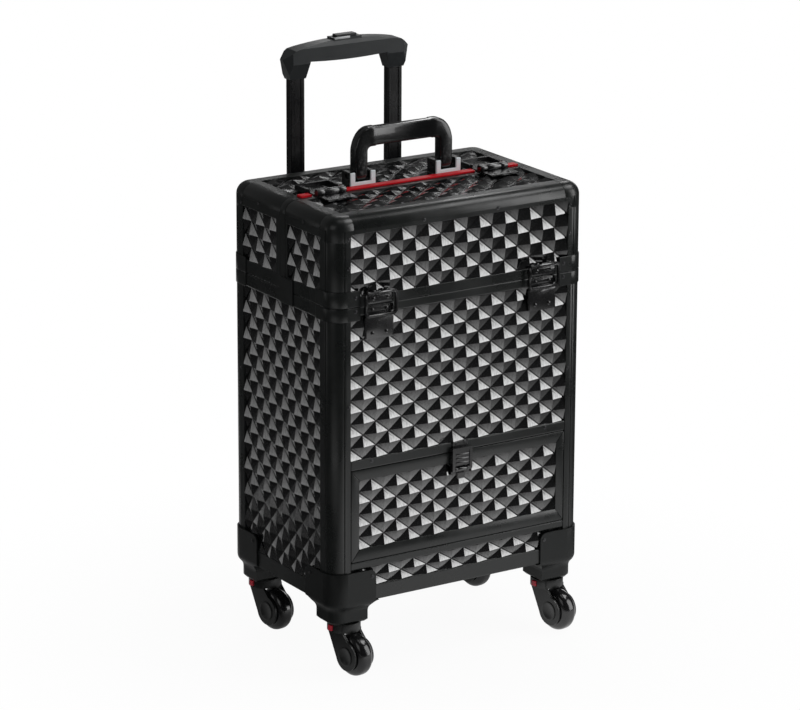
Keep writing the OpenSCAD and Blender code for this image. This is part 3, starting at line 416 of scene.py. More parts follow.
class Graph:
    """Builds one node tree, with sockets and plain values given alike."""

    def __init__(self, tree: bpy.types.NodeTree, source: str, place: str) -> None:
        """Empties the tree and adds the node that it starts from.

        Args:
            tree: the tree.
            source: the type of that node.
            place: the output of it that gives the coordinates.
        """
        tree.nodes.clear()
        self.tree = tree
        self.given = self.add(source).outputs
        self.place = self.given[place]

    @classmethod
    def of(cls, owner: bpy.types.Material | bpy.types.World) -> "Graph":
        """Starts on the tree of a material or a world."""
        owner.use_nodes = True
        return cls(owner.node_tree, "ShaderNodeTexCoord", "Object")

    def add(self, kind: str, values: dict | None = None, **settings: object) -> bpy.types.Node:
        """Adds a node.

        Args:
            kind: the node's type.
            values: its inputs by name or index, each a socket or a value.
            settings: its other properties.

        Returns:
            The node.
        """
        node = self.tree.nodes.new(kind)
        for key, value in settings.items():
            setattr(node, key, value)
        for key, value in (values or {}).items():
            if isinstance(value, Socket):
                self.tree.links.new(value, node.inputs[key])
            else:
                node.inputs[key].default_value = value
        return node

    def maths(self, operation: str, *values: object, clamp: bool = False) -> Socket:
        """Works one operation through its values in turn.

        Args:
            operation: the operation.
            values: one value or more.
            clamp: whether the result is held between 0 and 1.

        Returns:
            The result.
        """
        total = values[0]
        for value in values[1:] or (0.0,):
            node = self.add("ShaderNodeMath", {0: total, 1: value}, operation=operation)
            total = node.outputs[0]
        node.use_clamp = clamp
        return total

    def plus(self, *values: object, clamp: bool = False) -> Socket:
        """The sum of values."""
        return self.maths("ADD", *values, clamp=clamp)

    def minus(self, *values: object) -> Socket:
        """The first value less the others."""
        return self.maths("SUBTRACT", *values)

    def times(self, *values: object, clamp: bool = False) -> Socket:
        """The product of values."""
        return self.maths("MULTIPLY", *values, clamp=clamp)

    def remap(
        self, value: object, low: float, high: float, start: float = 0.0, end: float = 1.0
    ) -> Socket:
        """Maps a value from low and high to start and end, held at both."""
        names = ("Value", "From Min", "From Max", "To Min", "To Max")
        return self.add("ShaderNodeMapRange", dict(zip(names, (value, low, high, start, end)))).outputs[0]

    def fade(self, value: object, low: float, high: float) -> Socket:
        """1 up to a low value, down to 0 from a high one on."""
        return self.remap(value, low, high, 1.0, 0.0)

    def blend(self, share: object, first: object, second: object) -> Socket:
        """Mixes two colours."""
        values = {0: share, 6: first, 7: second}
        return self.add("ShaderNodeMix", values, data_type="RGBA").outputs[2]

    def noise(self, place: object, scale: object, detail: float) -> Socket:
        """Soft noise, mostly from 0.3 to 0.7."""
        values = {"Vector": place, "Scale": scale, "Detail": detail}
        return self.add("ShaderNodeTexNoise", values).outputs["Fac"]

    def turned(self, place: object, turn: Triple, scale: Triple) -> Socket:
        """The coordinates, turned and scaled."""
        values = {"Vector": place, "Rotation": turn, "Scale": scale}
        return self.add("ShaderNodeMapping", values).outputs[0]

    def vector(self, operation: str, *values: object) -> Outputs:
        """One step on vectors."""
        return self.add("ShaderNodeVectorMath", dict(enumerate(values)), operation=operation).outputs

    def along(self, vector: object, axis: int) -> Socket:
        """A vector's measure along one axis."""
        return self.add("ShaderNodeSeparateXYZ", {0: vector}).outputs[axis]

    def white(self, kind: str, strength: object) -> Socket:
        """A white glow, from an emission or a background node."""
        return self.add(kind, {"Color": WHITE, "Strength": strength}).outputs[0]

    def choose(self, share: object, first: object, second: object) -> Socket:
        """Mixes two shaders."""
        return self.add("ShaderNodeMixShader", {0: share, 1: first, 2: second}).outputs[0]

    def ray(self, *kinds: str) -> Socket:
        """1 where the ray is of one of the kinds, else 0."""
        path = self.add("ShaderNodeLightPath").outputs
        return self.maths("MAXIMUM", *(path[f"Is {kind} Ray"] for kind in kinds))


@dataclass(frozen=True)
class Effect:
    """A surface effect as a node group, built once and shared by the materials."""

    name: str
    inputs: dict[str, float]
    outputs: tuple[str, ...]
    fill: Callable[[Graph], dict[str, Socket]]

    def tree(self) -> bpy.types.NodeTree:
        """The group's tree, filled the first time that it is asked for.

        Returns:
            The node tree.
        """
        if self.name in bpy.data.node_groups:
            return bpy.data.node_groups[self.name]
        tree = bpy.data.node_groups.new(self.name, "ShaderNodeTree")
        sockets = tree.interface
        sockets.new_socket("Place", in_out="INPUT", socket_type="NodeSocketVector")
        for name, value in self.inputs.items():
            socket = sockets.new_socket(name, in_out="INPUT", socket_type="NodeSocketFloat")
            socket.default_value = value
        for name in self.outputs:
            sockets.new_socket(name, in_out="OUTPUT", socket_type="NodeSocketFloat")
        graph = Graph(tree, "NodeGroupInput", "Place")
        graph.add("NodeGroupOutput", self.fill(graph))
        return tree

    def put(self, graph: Graph, **values: object) -> Outputs:
        """Places the effect in a material, gives it its inputs and returns its outputs."""
        inputs = {name.capitalize(): value for name, value in {"place": graph.place, **values}.items()}
        return graph.add("ShaderNodeGroup", inputs, node_tree=self.tree()).outputs


def fill_grain(graph: Graph) -> dict[str, Socket]:
    """Fine grain of a coated or moulded surface, with broad mottling.

    Args:
        graph: the group's graph, given Size in metres.

    Returns:
        Its outputs: Height and Mottling, from 0 to 1.
    """
    fine = graph.noise(graph.place, graph.maths("DIVIDE", 1.0, graph.given["Size"]), 3.0)
    broad = graph.noise(graph.place, 22.0, 4.0)
    return {"Height": fine, "Mottling": graph.remap(broad, 0.35, 0.65)}


def fill_scuffs(graph: Graph) -> dict[str, Socket]:
    """Thin handling marks, stretched along their run.

    Args:
        graph: the group's graph, given the Share of the surface that is marked.

    Returns:
        Its output: Mask, from 0 to 1.
    """
    run = graph.turned(graph.place, (0.5, 0.3, 0.7), (900, 60, 260))
    start = graph.minus(0.78, graph.times(graph.given["Share"], 0.3))
    marks = graph.remap(graph.noise(run, 1.0, 2.0), start, 0.8)
    spread = graph.remap(graph.noise(graph.place, 16.0, 2.0), 0.45, 0.7)
    return {"Mask": graph.times(marks, spread, clamp=True)}


def fill_dust(graph: Graph) -> dict[str, Socket]:
    """Light dust that settles on faces that look up.

    Args:
        graph: the group's graph, given the Amount.

    Returns:
        Its output: Mask, from 0 to 1.
    """
    normal = graph.add("ShaderNodeNewGeometry").outputs["Normal"]
    flat = graph.remap(graph.along(normal, 2), 0.4, 1.0)
    specks = graph.remap(graph.noise(graph.place, 420.0, 5.0), 0.45, 0.75)
    return {"Mask": graph.times(flat, specks, graph.given["Amount"], clamp=True)}


def fill_relief(graph: Graph) -> dict[str, Socket]:
    """Creases and hatch of embossed laminate, on the grid of its pyramids.

    Args:
        graph: the group's graph, given Column and Row in cells from the panel's corner.

    Returns:
        Its outputs: Crease along the falling valleys, Ridge along the rising ones, Hatch over the
        facets, Fall across them, the sheet's own Wave, short Dashes beside the creases and the
        Shade, a painted reflection that is strongest low in each pyramid and weakest at its top.
    """
    column, row = graph.given["Column"], graph.given["Row"]
    across, up = graph.maths("FRACT", column), graph.maths("FRACT", row)
    cell = graph.plus(graph.maths("FLOOR", column), graph.maths("FLOOR", row))
    odd = graph.times(graph.maths("FRACT", graph.times(cell, 0.5)), 2.0)
    even = graph.minus(1.0, odd)
    falling = graph.maths("ABSOLUTE", graph.minus(graph.plus(across, up), 1.0))
    rising = graph.maths("ABSOLUTE", graph.minus(across, up))
    stripes = graph.fade(graph.maths("FRACT", graph.times(falling, 4.5)), 0.35, 0.6)
    high_left = graph.remap(graph.minus(up, across), 0.05, 0.5)
    strokes = graph.turned(graph.place, (0.6, 0.7, 0.4), (700, 700, 160))
    return {
        "Crease": graph.times(graph.fade(falling, 0.045, 0.085), even),
        "Ridge": graph.times(graph.fade(rising, 0.015, 0.045), odd),
        "Hatch": graph.remap(graph.noise(strokes, 1.0, 3.0), 0.42, 0.66),
        "Fall": graph.plus(graph.times(falling, even), graph.times(rising, odd)),
        "Wave": graph.noise(graph.place, 75.0, 1.0),
        "Dashes": graph.times(stripes, high_left, graph.fade(falling, 0.2, 0.5), even),
        # Painted sheen: scales the gloss from 1.7 low in each cell down to 0.6 at its top, a painted
        # gradient of reflection
        "Shade": graph.remap(up, 0.05, 1.0, 1.7, 0.6),
    }


GRAIN = Effect("moulding_grain", {"Size": 0.0006}, ("Height", "Mottling"), fill_grain)
SCUFFS = Effect("handling_scuffs", {"Share": 0.2}, ("Mask",), fill_scuffs)
DUST = Effect("settled_dust", {"Amount": 0.1}, ("Mask",), fill_dust)
RELIEF = Effect(
    "pyramid_relief", {"Column": 0.0, "Row": 0.0},
    ("Crease", "Ridge", "Hatch", "Fall", "Wave", "Dashes", "Shade"), fill_relief,
)


@dataclass(frozen=True)
class Finish:
    """A coated, moulded or plated surface."""

    name: str
    slot: Slot
    colour: Triple
    worn: Triple
    roughness: float
    spread: float = 0.06
    metallic: float = 0.0
    coat: float = 0.0
    coat_roughness: float = 0.05
    coat_ior: float = 1.5
    specular: float = 0.5
    grain: float = 0.6
    depth: float = 0.01
    scuffs: float = 0.2
    dust: float = 0.05
    mottling_tint: float = 0.35
    scuff_tint: float = 0.5
    scuff_roughness: float = 0.15
    dust_roughness: float = 0.3

    def worked(self, graph: Graph, surface: Surface) -> Surface:
        """The surface's values. A finish with a pattern of its own changes them here."""
        return surface

    def build(self) -> bpy.types.Material:
        """The material, made once.

        Returns:
            The material.
        """
        if self.name in bpy.data.materials:
            return bpy.data.materials[self.name]
        material = bpy.data.materials.new(self.name)
        graph = Graph.of(material)
        grain = GRAIN.put(graph, size=self.grain * MM)
        scuffs = SCUFFS.put(graph, share=self.scuffs)["Mask"]
        dust = DUST.put(graph, amount=self.dust)["Mask"]
        mottling, worn = grain["Mottling"], (*self.worn, 1)
        colour = graph.blend(graph.times(mottling, self.mottling_tint), (*self.colour, 1), worn)
        colour = graph.blend(graph.times(scuffs, self.scuff_tint), colour, worn)
        surface = {
            "Base Color": graph.blend(dust, colour, DUST_GREY),
            "Roughness": graph.plus(
                graph.remap(mottling, 0.0, 1.0, self.roughness - self.spread, self.roughness + self.spread),
                graph.times(scuffs, self.scuff_roughness), graph.times(dust, self.dust_roughness),
                clamp=True,
            ),
            "Height": grain["Height"],
            "Coat Weight": self.coat,
        }
        surface = self.worked(graph, surface)
        relief = {"Height": surface.pop("Height"), "Strength": 1.0, "Distance": self.depth * MM}
        plain = {
            "Metallic": self.metallic,
            "Specular IOR Level": self.specular,
            "Coat Roughness": self.coat_roughness,
            "Coat IOR": self.coat_ior,
            "Normal": graph.add("ShaderNodeBump", relief).outputs[0],
        }
        shader = graph.add("ShaderNodeBsdfPrincipled", {**surface, **plain}).outputs[0]
        graph.add("ShaderNodeOutputMaterial", {"Surface": shader})
        return material


@dataclass(frozen=True)
class Relief(Finish):
    """Glossy black laminate embossed with pyramids, creased along its falling valleys."""

    corner: Triple = (0, 0, 0)
    cells_across: Triple = (0, 0, 0)
    cells_up: Triple = (0, 0, 0)
    thin: int = 1
    middle: float = 0.0
    crease: float = 1.0
    crease_depth: float = -4.0
    dashes: float = 0.75
    ridge_depth: float = -2.0
    ridge_roughness: float = 0.2
    hatch: float = 0.05
    hatch_height: float = 6.0
    streaks: float = 0.72
    bow: float = 8.0
    wave: float = 8.0
    lining_roughness: float = 0.7
    lining_turn: float = -0.3

    @classmethod
    def of(cls, node: str, across: Vector, up: Vector, cell: Pair, **more: float) -> "Relief":
        """The finish of one panel.

        Args:
            node: the panel's node.
            across: direction of its rows.
            up: direction of its columns.
            cell: width and height of a pyramid's quarter.
            more: other values of the finish.

        Returns:
            The finish, with its grid fitted to the panel as the construction fits it.
        """
        low, high = node_box(node)
        size = high - low
        steps = [
            tuple(way * round(size.dot(way) / pitch) / size.dot(way))
            for way, pitch in zip((across, up), cell)
        ]
        thin = [abs(v) > 0.5 for v in across.cross(up)].index(True)
        return cls(
            f"relief of {node}", Slot.RELIEF, (0.003, 0.0032, 0.0035), (0.007, 0.0072, 0.008), 0.13,
            spread=0.03, coat=0.59, coat_roughness=0.08, coat_ior=2.4, specular=0.15, grain=0.9,
            depth=0.05, scuffs=0.1, dust=0.005, corner=tuple(low), cells_across=steps[0],
            cells_up=steps[1], thin=thin, middle=sum(v[thin] for v in node_box("body_posts")) / 2,
            **more,
        )

    def pattern(self, graph: Graph) -> Outputs:
        """The relief's creases and hatch on this panel.

        Args:
            graph: the material's graph.

        Returns:
            The outputs of the effect.
        """
        from_corner = graph.vector("SUBTRACT", graph.place, tuple(v * MM for v in self.corner))[0]
        column, row = (
            graph.vector("DOT_PRODUCT", from_corner, tuple(v / MM for v in step))["Value"]
            for step in (self.cells_across, self.cells_up)
        )
        return RELIEF.put(graph, column=column, row=row)

    def lined(self, graph: Graph) -> Socket:
        """Tells the sheet's lined inner face from its embossed one.

        Args:
            graph: the material's graph.

        Returns:
            1 on the face that looks into the case, else 0.
        """
        facing = graph.along(graph.given["Normal"], self.thin)
        side = graph.maths("SIGN", graph.minus(graph.along(graph.place, self.thin), self.middle * MM))
        return graph.maths("LESS_THAN", graph.times(facing, side), self.lining_turn)

    def worked(self, graph: Graph, surface: Surface) -> Surface:
        """Presses the creases and paints shade into them, lays the hatch, bows the facets and dulls the
        lining.

        Args:
            graph: the material's graph.
            surface: the surface's values so far.

        Returns:
            The surface's values.
        """
        marks, lined = self.pattern(graph), self.lined(graph)
        shown = graph.minus(1.0, lined)
        # Painted shade: along the creases the gloss is taken away below, so they show black; the bump
        # further down presses a real groove
        crease = graph.times(marks["Crease"], self.crease)
        dashes = graph.times(marks["Dashes"], self.dashes * self.crease)
        # The pyramid mark in this product paints a sheen: gloss is raised low in each cell and lowered
        # towards its top
        gloss = graph.times(
            graph.minus(1.0, crease), graph.minus(1.0, dashes), marks["Shade"], shown,
            graph.remap(marks["Hatch"], 0.0, 1.0, 1.0, self.streaks), self.coat, clamp=True,
        )
        roughness = graph.plus(
            surface["Roughness"], graph.times(marks["Hatch"], self.hatch),
            graph.times(marks["Ridge"], self.ridge_roughness),
            graph.times(lined, self.lining_roughness), clamp=True,
        )
        height = graph.plus(
            surface["Height"], graph.times(crease, self.crease_depth),
            graph.times(marks["Ridge"], self.ridge_depth),
            graph.times(marks["Hatch"], self.hatch * self.hatch_height),
            graph.times(marks["Wave"], self.wave),
            graph.times(graph.maths("POWER", marks["Fall"], 2.0), self.bow),
        )
        height = graph.times(height, shown)
        return {**surface, "Roughness": roughness, "Height": height, "Coat Weight": gloss}


PROFILE = Finish(
    "black coated aluminium", Slot.PROFILE, (0.0078, 0.0092, 0.0088), (0.015, 0.017, 0.0165), 0.31,
    grain=0.35, scuffs=0.25, dust=0.02,
)
CORNER = replace(PROFILE, name="black corner casting", slot=Slot.CORNER, grain=0.4)
LINER = Finish(
    "black lining felt", Slot.LINER, (0.02, 0.02, 0.021), (0.045, 0.045, 0.047), 0.85,
    specular=0.2, grain=0.5, depth=0.12, scuffs=0.0,
)
TRIM = Finish(
    "red trim", Slot.TRIM, (0.56, 0.0, 0.008), (0.62, 0.01, 0.02), 0.4,
    specular=0.2, grain=0.8, scuffs=0.1, dust=0.01,
)
HARDWARE = Finish(
    "black plated hardware", Slot.HARDWARE, (0.006, 0.006, 0.0065), (0.02, 0.02, 0.021), 0.24,
    specular=0.6, coat=0.7, grain=0.4, depth=0.008, scuffs=0.3, dust=0.02,
)
SILVER = Finish(
    "satin silver plate", Slot.BRACKET, (0.86, 0.95, 0.98), (0.72, 0.77, 0.8), 0.3,
    specular=0.8, grain=0.3, depth=0.006, scuffs=0.3,
)
HANDLE = Finish(
    "glossy black handle", Slot.HANDLE, (0.006, 0.0065, 0.0068), (0.014, 0.0145, 0.015), 0.21,
    specular=0.45, coat=0.4, grain=0.7, scuffs=0.15, dust=0.01,
)
FOOT = Finish(
    "moulded foot", Slot.FOOT, (0.007, 0.0082, 0.008), (0.014, 0.0155, 0.015), 0.42,
    specular=0.28, grain=0.45, depth=0.03, scuffs=0.25, dust=0.02,
)
TUBE = Finish(
    "black anodised tube", Slot.TUBE, (0.006, 0.006, 0.0065), (0.017, 0.017, 0.018), 0.26,
    specular=0.38, grain=0.3, depth=0.006, dust=0.01,
)
GRIP = Finish(
    "dark grey grip", Slot.GRIP, (0.0195, 0.0225, 0.024), (0.031, 0.035, 0.037), 0.36,
    specular=0.4, grain=0.5, depth=0.025, dust=0.02,
)
BUTTON = Finish(
    "dark button", Slot.BUTTON, (0.014, 0.015, 0.016), (0.03, 0.031, 0.033), 0.35,
    specular=0.4, grain=0.4, dust=0.02,
)
INSERT = Finish(
    "pale grey insert", Slot.BUTTON, (0.5, 0.51, 0.52), (0.38, 0.39, 0.4), 0.35,
    grain=0.4,
)
FORK = Finish(
    "caster housing", Slot.FORK, (0.0075, 0.0082, 0.008), (0.014, 0.0148, 0.0145), 0.34,
    specular=0.45, grain=0.45, depth=0.02, scuffs=0.25, dust=0.02,
)
WHEEL = Finish(
    "wheel tread", Slot.WHEEL, (0.006, 0.006, 0.0065), (0.018, 0.018, 0.019), 0.16,
    coat=0.3, grain=0.5, scuffs=0.3, dust=0.01,
)
TAB = Finish(
    "red tab", Slot.TAB, (0.55, 0.01, 0.035), (0.62, 0.04, 0.05), 0.35,
    coat=0.3, grain=0.5,
)
RIVET = Finish(
    "blackened rivet", Slot.RIVET, (0.03, 0.03, 0.032), (0.12, 0.12, 0.125), 0.3,
    metallic=0.6, grain=0.3, depth=0.008, scuffs=0.4,
)


@dataclass
class SubAssembly:
    """A group of pieces that is built and dressed together.

    Its angles in degrees say past what an edge counts as sharp, from crisp pieces to round ones.
    """

    crisp: float = 30
    sharp: float = 40
    blunt: float = 50

    def dress(self, finish: Finish, *nodes: str, round_by: float = 0.0) -> None:
        """Gives construction nodes their finish, and rounds their edges.

        Args:
            finish: the finish.
            nodes: the nodes' names.
            round_by: width of the rounding, or 0 for none.
        """
        for name in nodes:
            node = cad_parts[name]
            node.data.materials.clear()
            node.data.materials.append(finish.build())
            if round_by:
                node.modifiers.new("weld", "WELD").merge_threshold = MERGE
                add_rounding(node, round_by, self.sharp)
            log.info("dressed %s in %s", name, finish.name)

    def place(self, piece: Object, finish: Finish, body: str, *nodes: str) -> None:
        """Dresses a new piece and puts it on its body.

        Args:
            piece: the new piece.
            finish: its finish.
            body: the body that it moves with.
            nodes: the construction nodes that it stands for.
        """
        piece.data.materials.clear()
        piece.data.materials.append(finish.build())
        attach(piece, body)
        if nodes:
            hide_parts(*nodes)
        log.info("placed %s on %s in %s", piece.name, body, finish.name)

    def build(self) -> None:
        """Builds the group's pieces."""
        raise NotImplementedError


@dataclass
class Shell(SubAssembly):
    """Relief panels, profiles, corners and inner boards."""

    cell: Pair = (16.9, 14.3)
    side_cell: Pair = (14.0, 16.0)
    profile_rounding: float = 0.7
    rail_rounding: float = 1.6
    cap_rounding: float = 0.7
    bar_rounding: float = 1.0
    runner_rounding: float = 0.35

    def mitred_bar(self, way: int, side: int) -> Object:
        """One bar of the drawer front's frame, with its ends cut to mitres.

        Args:
            way: the axis that it runs along.
            side: -1 for the lower bar of its pair, 1 for the upper one.

        Returns:
            The bar.
        """
        low, high = node_box("drawer_front_frame")
        opening = node_box("drawer_front_panel")
        middle = (low + high) / 2
        across = 2 - way
        inner = opening[side > 0][across]
        if side < 0:
            high[across] = inner
        else:
            low[across] = inner

        def mitre(point: Vector) -> Vector:
            """Draws the inner edge in to the opening.

            Args:
                point: a corner of the bar.

            Returns:
                Its new place.
            """
            if abs(point[across] - inner) < NEAR:
                point[way] = opening[point[way] > middle[way]][way]
            return point

        return Work.box("bar", low, high).bend(mitre).done(round_by=self.bar_rounding)

    def build(self) -> None:
        """Dresses the shell's nodes and builds the drawer front's frame."""
        for part in ("body_front", "body_back", "lower_front", "hood_back", "lid_front", "drawer_front"):
            node = f"{part}_panel"
            self.dress(Relief.of(node, RIGHT, UP, self.cell), node)
        for part in ("body", "hood", "lid"):
            node = f"{part}_side_panels"
            side = Relief.of(node, REAR, UP, self.side_cell, crease=0.0, bow=-10.0, wave=4.0)
            self.dress(side, node)
        for part in ("hood", "lid"):
            node = f"{part}_top_panel"
            top = Relief.of(node, RIGHT, REAR, self.cell, hatch=0.01, bow=14.0, wave=30.0)
            self.dress(top, node)
        self.dress(LINER, "body_floor", "drawer_deck", "drawer_box")
        for finish, rounding, nodes in (
            (PROFILE, self.profile_rounding, ("body_posts", "hood_frame", "lid_frame", "centre_arch")),
            (PROFILE, self.rail_rounding, ("body_rails",)),
            (CORNER, self.cap_rounding, ("hood_corner_caps", "lid_corner_caps")),
            (CORNER, self.cap_rounding, ("case_seam_corners", "lid_seam_corners")),
            (HARDWARE, self.runner_rounding, ("drawer_runners",)),
            (TRIM, self.profile_rounding, ("arch_trim",)),
        ):
            self.dress(finish, *nodes, round_by=rounding)
        bars = [self.mitred_bar(way, side) for way in (0, 2) for side in SIDES]
        self.place(join(bars, "drawer_frame_bars"), PROFILE, "drawer", "drawer_front_frame")


@dataclass
class Rivets(SubAssembly):
    """Domed rivets with a pressed ring, one at each rivet of the construction."""

    seat_share: float = 0.45
    steps: Steps = ((0.12, 0), (0.16, -0.2), (0.1, 0.45), (0.25, 0.25))

    def head(self, low: Vector, high: Vector) -> Object:
        """One rivet inside its box.

        Args:
            low: lowest corner.
            high: highest corner.

        Returns:
            The rivet.
        """
        size, centre = high - low, (low + high) / 2
        thin = min(range(3), key=lambda axis: size[axis])
        middle = sum(node_box("body_posts"), Vector()) / 2
        out = Vector()
        out[thin] = 1 if centre[thin] > middle[thin] else -1
        radius, depth = max(size) / 2, size[thin]
        seat = centre - out * depth / 2
        head = Work.rod("rivet", seat, seat + out * depth * self.seat_share, radius, RIVET_SIDES)
        head.towards(out).inset(*((radius * width, depth * rise) for width, rise in self.steps))
        return head.done(angle=self.blunt)

    def build(self) -> None:
        """Builds the rivets of the case and of the lid."""
        for body in ("case", "lid"):
            heads = [self.head(low, high) for low, high in loose_boxes(f"{body}_rivets")]
            self.place(join(heads, f"{body}_rivet_heads"), RIVET, body, f"{body}_rivets")


@dataclass
class CarryHandle(SubAssembly):
    """The moulded handle: two legs, two swept corners and a deeper grip bar between them."""

    width: float = 133
    leg: float = 17
    bar: float = 23
    inner_turn: float = 5
    edge: float = 3.0
    edge_segments: int = 4
    turn_steps: int = 10
    rounding: float = 0.8
    grip_half: float = 37
    grip_step: float = 2
    grip_waist: Triple = (1, 0.93, 0.94)
    foot_taper: Triple = (0.6, 0.75, 1)
    pin_radius: float = 3
    pin_reach: float = 15.5
    pin_edge: float = 0.4
    collar_radius: float = 5
    collar_reach: float = 10.4

    def sweep(self, low: Vector, high: Vector) -> Work:
        """Sweeps one section up a leg, round both corners and down the other leg.

        Args:
            low: lowest corner of the node's box.
            high: its highest corner.

        Returns:
            The work.
        """
        half = self.width / 2
        turn_x = half - self.leg - self.inner_turn
        turn_z = high.z - self.bar - self.inner_turn
        middle_y = (low.y + high.y) / 2
        work = Work.box(
            "carry_handle_grip", at(-half, low.y, low.z), at(self.leg - half, high.y, turn_z)
        )
        work.edges_along(UP).bevel(self.edge, self.edge_segments)
        work.towards(UP).spin(at(-turn_x, middle_y, turn_z), REAR, 90, self.turn_steps)
        work.faces(lambda c, n: n.x > FACING and c.x > -turn_x - NEAR and c.z > turn_z)
        work.extrude(at(2 * turn_x, 0, 0))
        work.spin(at(turn_x, middle_y, turn_z), REAR, 90, self.turn_steps)
        work.faces(lambda c, n: n.z < -FACING and c.x > turn_x and abs(c.z - turn_z) < NEAR)
        work.extrude(at(0, 0, low.z - turn_z))
        inner_z = turn_z + self.inner_turn

        def deepen(point: Vector) -> Vector:
            """Stretches the leg's section to the bar's above the inner edge.

            Args:
                point: a point of the sweep.

            Returns:
                Its new place.
            """
            if point.z > inner_z:
                point.z = inner_z + (point.z - inner_z) * self.bar / self.leg
            return point

        return work.bend(deepen)

    def build(self) -> None:
        """Builds the handle with its pins, and dresses its brackets."""
        low, high = node_box("carry_handle")
        middle_y = (low.y + high.y) / 2
        pivot_z = low.z + self.leg / 2
        reach, step = self.grip_half, self.grip_step
        work = self.sweep(low, high)
        work.slice([-reach - step, -reach, reach, reach + step], RIGHT)
        work.points(lambda p: abs(p.x) < reach + NEAR and p.z > low.z + self.leg)
        work.resize(self.grip_waist, at(0, middle_y, high.z - self.bar / 2))
        work.slice([pivot_z], UP)
        legs = [side * (self.width - self.leg) / 2 for side in SIDES]
        for leg_x in legs:
            work.points(lambda p: p.z < low.z + NEAR and p.x * leg_x > 0)
            work.resize(self.foot_taper, at(leg_x, middle_y, low.z))
        parts = [work.done(round_by=self.rounding, angle=self.blunt)]
        pins = ((self.pin_radius, self.pin_reach), (self.collar_radius, self.collar_reach))
        for leg_x in legs:
            pivot = at(leg_x, middle_y, pivot_z)
            for radius, length in pins:
                pin = Work.rod("pin", pivot - RIGHT * length, pivot + RIGHT * length, radius)
                parts.append(pin.done(round_by=self.pin_edge, angle=self.blunt))
        self.place(join(parts, "carry_handle_grip"), HANDLE, "handle", "carry_handle")
        self.dress(HARDWARE, "handle_bracket_blocks", round_by=self.rounding)
        self.dress(SILVER, "handle_bracket_plates", round_by=self.rounding / 2)


